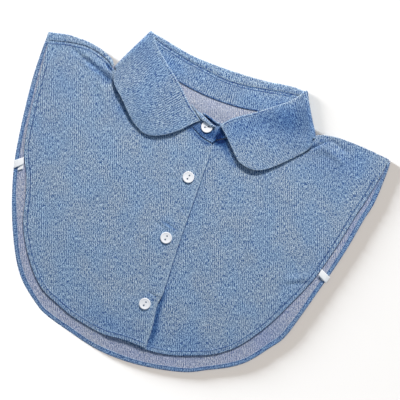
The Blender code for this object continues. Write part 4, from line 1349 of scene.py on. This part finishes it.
class COLLAR_OT_buttons(PieceOperator):
    """Four two-hole buttons, each sewn on with white thread"""

    bl_idname = "collar.buttons"
    bl_label = "Buttons"

    def execute(self, context):
        for name, x, y, turn in BUTTONS:
            on_stand = name == "button_1"
            placket = float(right_front_height(np.array(x), np.array(y), INSIDE))
            under = TOP_TAB + LAP / 2 if on_stand else placket
            seat = under + self.cloth / 2 + 0.2
            self.button(name, np.array((x, y, seat)), np.radians(turn))
        return {"FINISHED"}

    def button(self, name, at, turn):
        """A turned disc, with two holes cut through it, and strands of thread between them."""
        way = np.array((np.cos(turn), np.sin(turn), 0))
        disc = self.turned(name + "_resin", at, BUTTON_SECTION, BUTTON_RADIUS, 72)
        for side in (-1, 1):
            hole = at + way * side * HOLE_SPACING / 2
            cutter = self.turned(name + "_drill", hole, DRILL, HOLE_RADIUS, 20)
            cut = disc.modifiers.new("hole", "BOOLEAN")
            cut.object = cutter
            self.settle(disc)
            bpy.data.objects.remove(cutter, do_unlink=True)
        disc.data.set_sharp_from_angle(angle=np.radians(40))
        disc.data.materials.clear()
        disc.data.materials.append(button_resin())
        place(disc, name, "button_white")
        bundle = Bundle()
        share = np.linspace(-1, 1, 15)[:, None]
        across_way = np.array((-way[1], way[0], 0))
        for strand in (-0.18, 0.18):
            rise = 1.42 - 1.6 * np.abs(share) ** 6
            path = at + way * share * (HOLE_SPACING / 2 - 0.6) + across_way * strand + (0, 0, 1) * rise
            up = np.broadcast_to(across_way, path.shape)
            add_tube(bundle, path, up, 0.14, 8)
        white = thread("button_thread", (0.72, 0.71, 0.72))
        bundle.make(name + "_thread", [white], None, "button_white")

    def turned(self, name, at, section, radius, sides):
        """A profile carried once round a vertical line; its ends lie on the line."""
        rows = np.array(section) * (radius, BUTTON_FLATTEN)
        turn = 2 * np.pi * np.arange(sides) / sides
        circle = np.column_stack([np.cos(turn), np.sin(turn), 0 * turn])
        rings = at + rows[1:-1, None, :1] * circle + rows[1:-1, None, 1:] * (0, 0, 1)
        poles = at + rows[[0, -1], 1:] * (0, 0, 1)
        points = (np.vstack([rings.reshape(-1, 3), poles]) + (0, CENTRE_Y, 0)) * MM
        index = np.arange(len(rings) * sides).reshape(-1, sides)
        index = np.hstack([index, index[:, :1]])
        body = quads(index)[:, ::-1]
        bottom = np.column_stack([index[0, 1:], index[0, :-1], np.full(sides, index.size - len(index))])
        top = np.column_stack([index[-1, :-1], index[-1, 1:], np.full(sides, index.size - len(index) + 1)])
        mesh = bpy.data.meshes.new(name)
        mesh.from_pydata(points.tolist(), [], body.tolist() + bottom.tolist() + top.tolist())
        mesh.shade_smooth()
        made = bpy.data.objects.new(name, mesh)
        bpy.context.scene.collection.objects.link(made)
        return made

    def settle(self, piece):
        """Applies the modifiers to the mesh."""
        shown = piece.evaluated_get(bpy.context.evaluated_depsgraph_get())
        mesh = bpy.data.meshes.new_from_object(shown)
        piece.modifiers.clear()
        piece.data = mesh


class COLLAR_OT_straps(PieceOperator):
    """Two short loops of white elastic that join the front to the back at the sides"""

    bl_idname = "collar.straps"
    bl_label = "Side elastic"

    def execute(self, context):
        for name, upper_corners, under_corners in STRAPS:
            upper, under = strap_grids(upper_corners, under_corners)
            bundle = Bundle()
            bundle.add_cloth(upper, 0.8, run_map(upper), marks=(0, 0))
            bundle.add_cloth(under, 0.7, run_map(under), marks=(0, 0))
            strap = bundle.make(name + "_elastic", [elastic_ribs()], name, "elastic_white")
        return {"FINISHED"}


class COLLAR_OT_stage(bpy.types.Operator):
    """Pale floor, soft studio light and a camera straight above"""

    bl_idname = "collar.stage"
    bl_label = "Stage"

    def execute(self, context):
        self.floor()
        self.lights()
        self.camera()
        context.scene.view_settings.view_transform = "Standard"
        context.scene.view_settings.look = "None"
        return {"FINISHED"}

    def floor(self):
        mesh = bpy.data.meshes.new("studio_floor")
        reach = 4.0
        corners = (-reach, -reach), (reach, -reach), (reach, reach), (-reach, reach)
        mesh.from_pydata([(x, y, -0.0002) for x, y in corners], [], [(0, 1, 2, 3)])
        make = Finish("studio_paper")
        spot = make.add("ShaderNodeTexCoord").outputs["Object"]
        tooth = make.noise(spot, (0.002, 0.002, 0.002), 3.0)
        tint = bpy.context.scene.collar_colours
        shade = make.mix(tooth, tuple(c * 0.99 for c in tint.floor) + (1,), (*tint.floor, 1))
        mesh.materials.append(make.finish(shade, 0.9, make.bump(tooth, 0.00005, 0.2)))
        made = bpy.data.objects.new("studio_floor", mesh)
        bpy.context.scene.collection.objects.link(made)

    def lights(self):
        """The key light comes from the top of the picture and the sky fills the rest.

        Two low lamps from the upper left light only the floor. The panels stand in the way of the
        lower one and the collar in the way of the other, so that both throw a soft shadow there,
        and a wide warm lamp fills it.
        """
        turn = np.radians(VIEW_TURN)
        right = np.array((np.cos(turn), np.sin(turn), 0))
        up = np.array((-np.sin(turn), np.cos(turn), 0))
        middle = np.array((0.016, 0.017, 0))
        low = -0.83 * right + 0.56 * up
        for name, way, height, distance, size, power, colour, lit, blockers in (
            ("key", 0.25 * right + 0.95 * up, 0.8, 1.6, 0.35, 29.0, (1.0, 0.965, 0.92), "garment", None),
            ("top", 0.1 * right + 0.5 * up, 2.0, 1.6, 1.2, 3.0, (0.85, 0.93, 1.0), None, None),
            ("floor_rake", low, 0.089, 8.0, 1.35, 6150.0, (0.87, 0.93, 0.98), "floor", "low_blockers"),
            ("floor_side", low, 0.30, 8.0, 2.8, 1090.0, (1.0, 0.96, 0.94), "floor", "high_blockers"),
            ("floor_fill", 0.1 * up, 1.0, 1.0, 7.0, 38.0, (1.0, 0.64, 0.24), "floor", None),
        ):
            data = bpy.data.lights.new(name, "AREA")
            data.shape = "DISK"
            data.size = size
            data.energy = power
            data.color = colour
            lamp = bpy.data.objects.new(name, data)
            away = way + np.array((0, 0, height))
            away = away / np.linalg.norm(away) * distance
            lamp.location = middle + away
            lamp.rotation_euler = Vector(away).to_track_quat("Z", "Y").to_euler()
            bpy.context.scene.collection.objects.link(lamp)
            if lit:
                lamp.light_linking.receiver_collection = group(lit)
            if blockers:
                lamp.light_linking.blocker_collection = group(blockers)
        group("floor").objects.link(bpy.data.objects["studio_floor"])
        world = bpy.data.worlds.new("studio")
        world.use_nodes = True
        sky = world.node_tree.nodes["Background"]
        sky.inputs["Color"].default_value = (0.55, 0.75, 1.0, 1)
        sky.inputs["Strength"].default_value = 0.25
        bpy.context.scene.world = world

    def camera(self):
        """Straight down, far away with a long lens, as wide as the picture."""
        data = bpy.data.cameras.new("camera")
        data.lens = LENS
        data.sensor_width = SENSOR
        data.dof.use_dof = False
        data.clip_end = 20
        made = bpy.data.objects.new("camera", data)
        distance = VIEW_WIDTH * LENS / SENSOR * MM
        made.location = (VIEW_MIDDLE[0] * MM, (VIEW_MIDDLE[1] + CENTRE_Y) * MM, distance)
        made.rotation_euler = (0, 0, np.radians(VIEW_TURN))
        bpy.context.scene.collection.objects.link(made)
        bpy.context.scene.camera = made


OPERATORS = (
    COLLAR_OT_stage, COLLAR_OT_leaf, COLLAR_OT_stand, COLLAR_OT_back_panel, COLLAR_OT_fronts,
    COLLAR_OT_buttons, COLLAR_OT_straps,
)


class COLLAR_PT_panel(bpy.types.Panel):
    """Lists the collar's pieces, sizes and colours"""

    bl_idname = "COLLAR_PT_panel"
    bl_label = "Chambray collar"
    bl_space_type = "VIEW_3D"
    bl_region_type = "UI"
    bl_category = "Collar"

    def draw(self, context):
        for operator in OPERATORS:
            self.layout.operator(operator.bl_idname)
        for settings in (context.scene.collar_sizes, context.scene.collar_colours):
            for name in settings.bl_rna.properties.keys():
                if name not in ("rna_type", "name"):
                    self.layout.prop(settings, name)


CLASSES = (CollarSizes, CollarColours, *OPERATORS, COLLAR_PT_panel)


def register():
    for item in CLASSES:
        bpy.utils.register_class(item)
    bpy.types.Scene.collar_sizes = bpy.props.PointerProperty(type=CollarSizes)
    bpy.types.Scene.collar_colours = bpy.props.PointerProperty(type=CollarColours)


def unregister():
    del bpy.types.Scene.collar_colours
    del bpy.types.Scene.collar_sizes
    for item in reversed(CLASSES):
        bpy.utils.unregister_class(item)


def main():
    """Registers the classes and makes every piece in order."""
    register()
    for operator in OPERATORS:
        group, name = operator.bl_idname.split(".")
        getattr(getattr(bpy.ops, group), name)()
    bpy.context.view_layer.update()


if __name__ == "__main__":
    main()
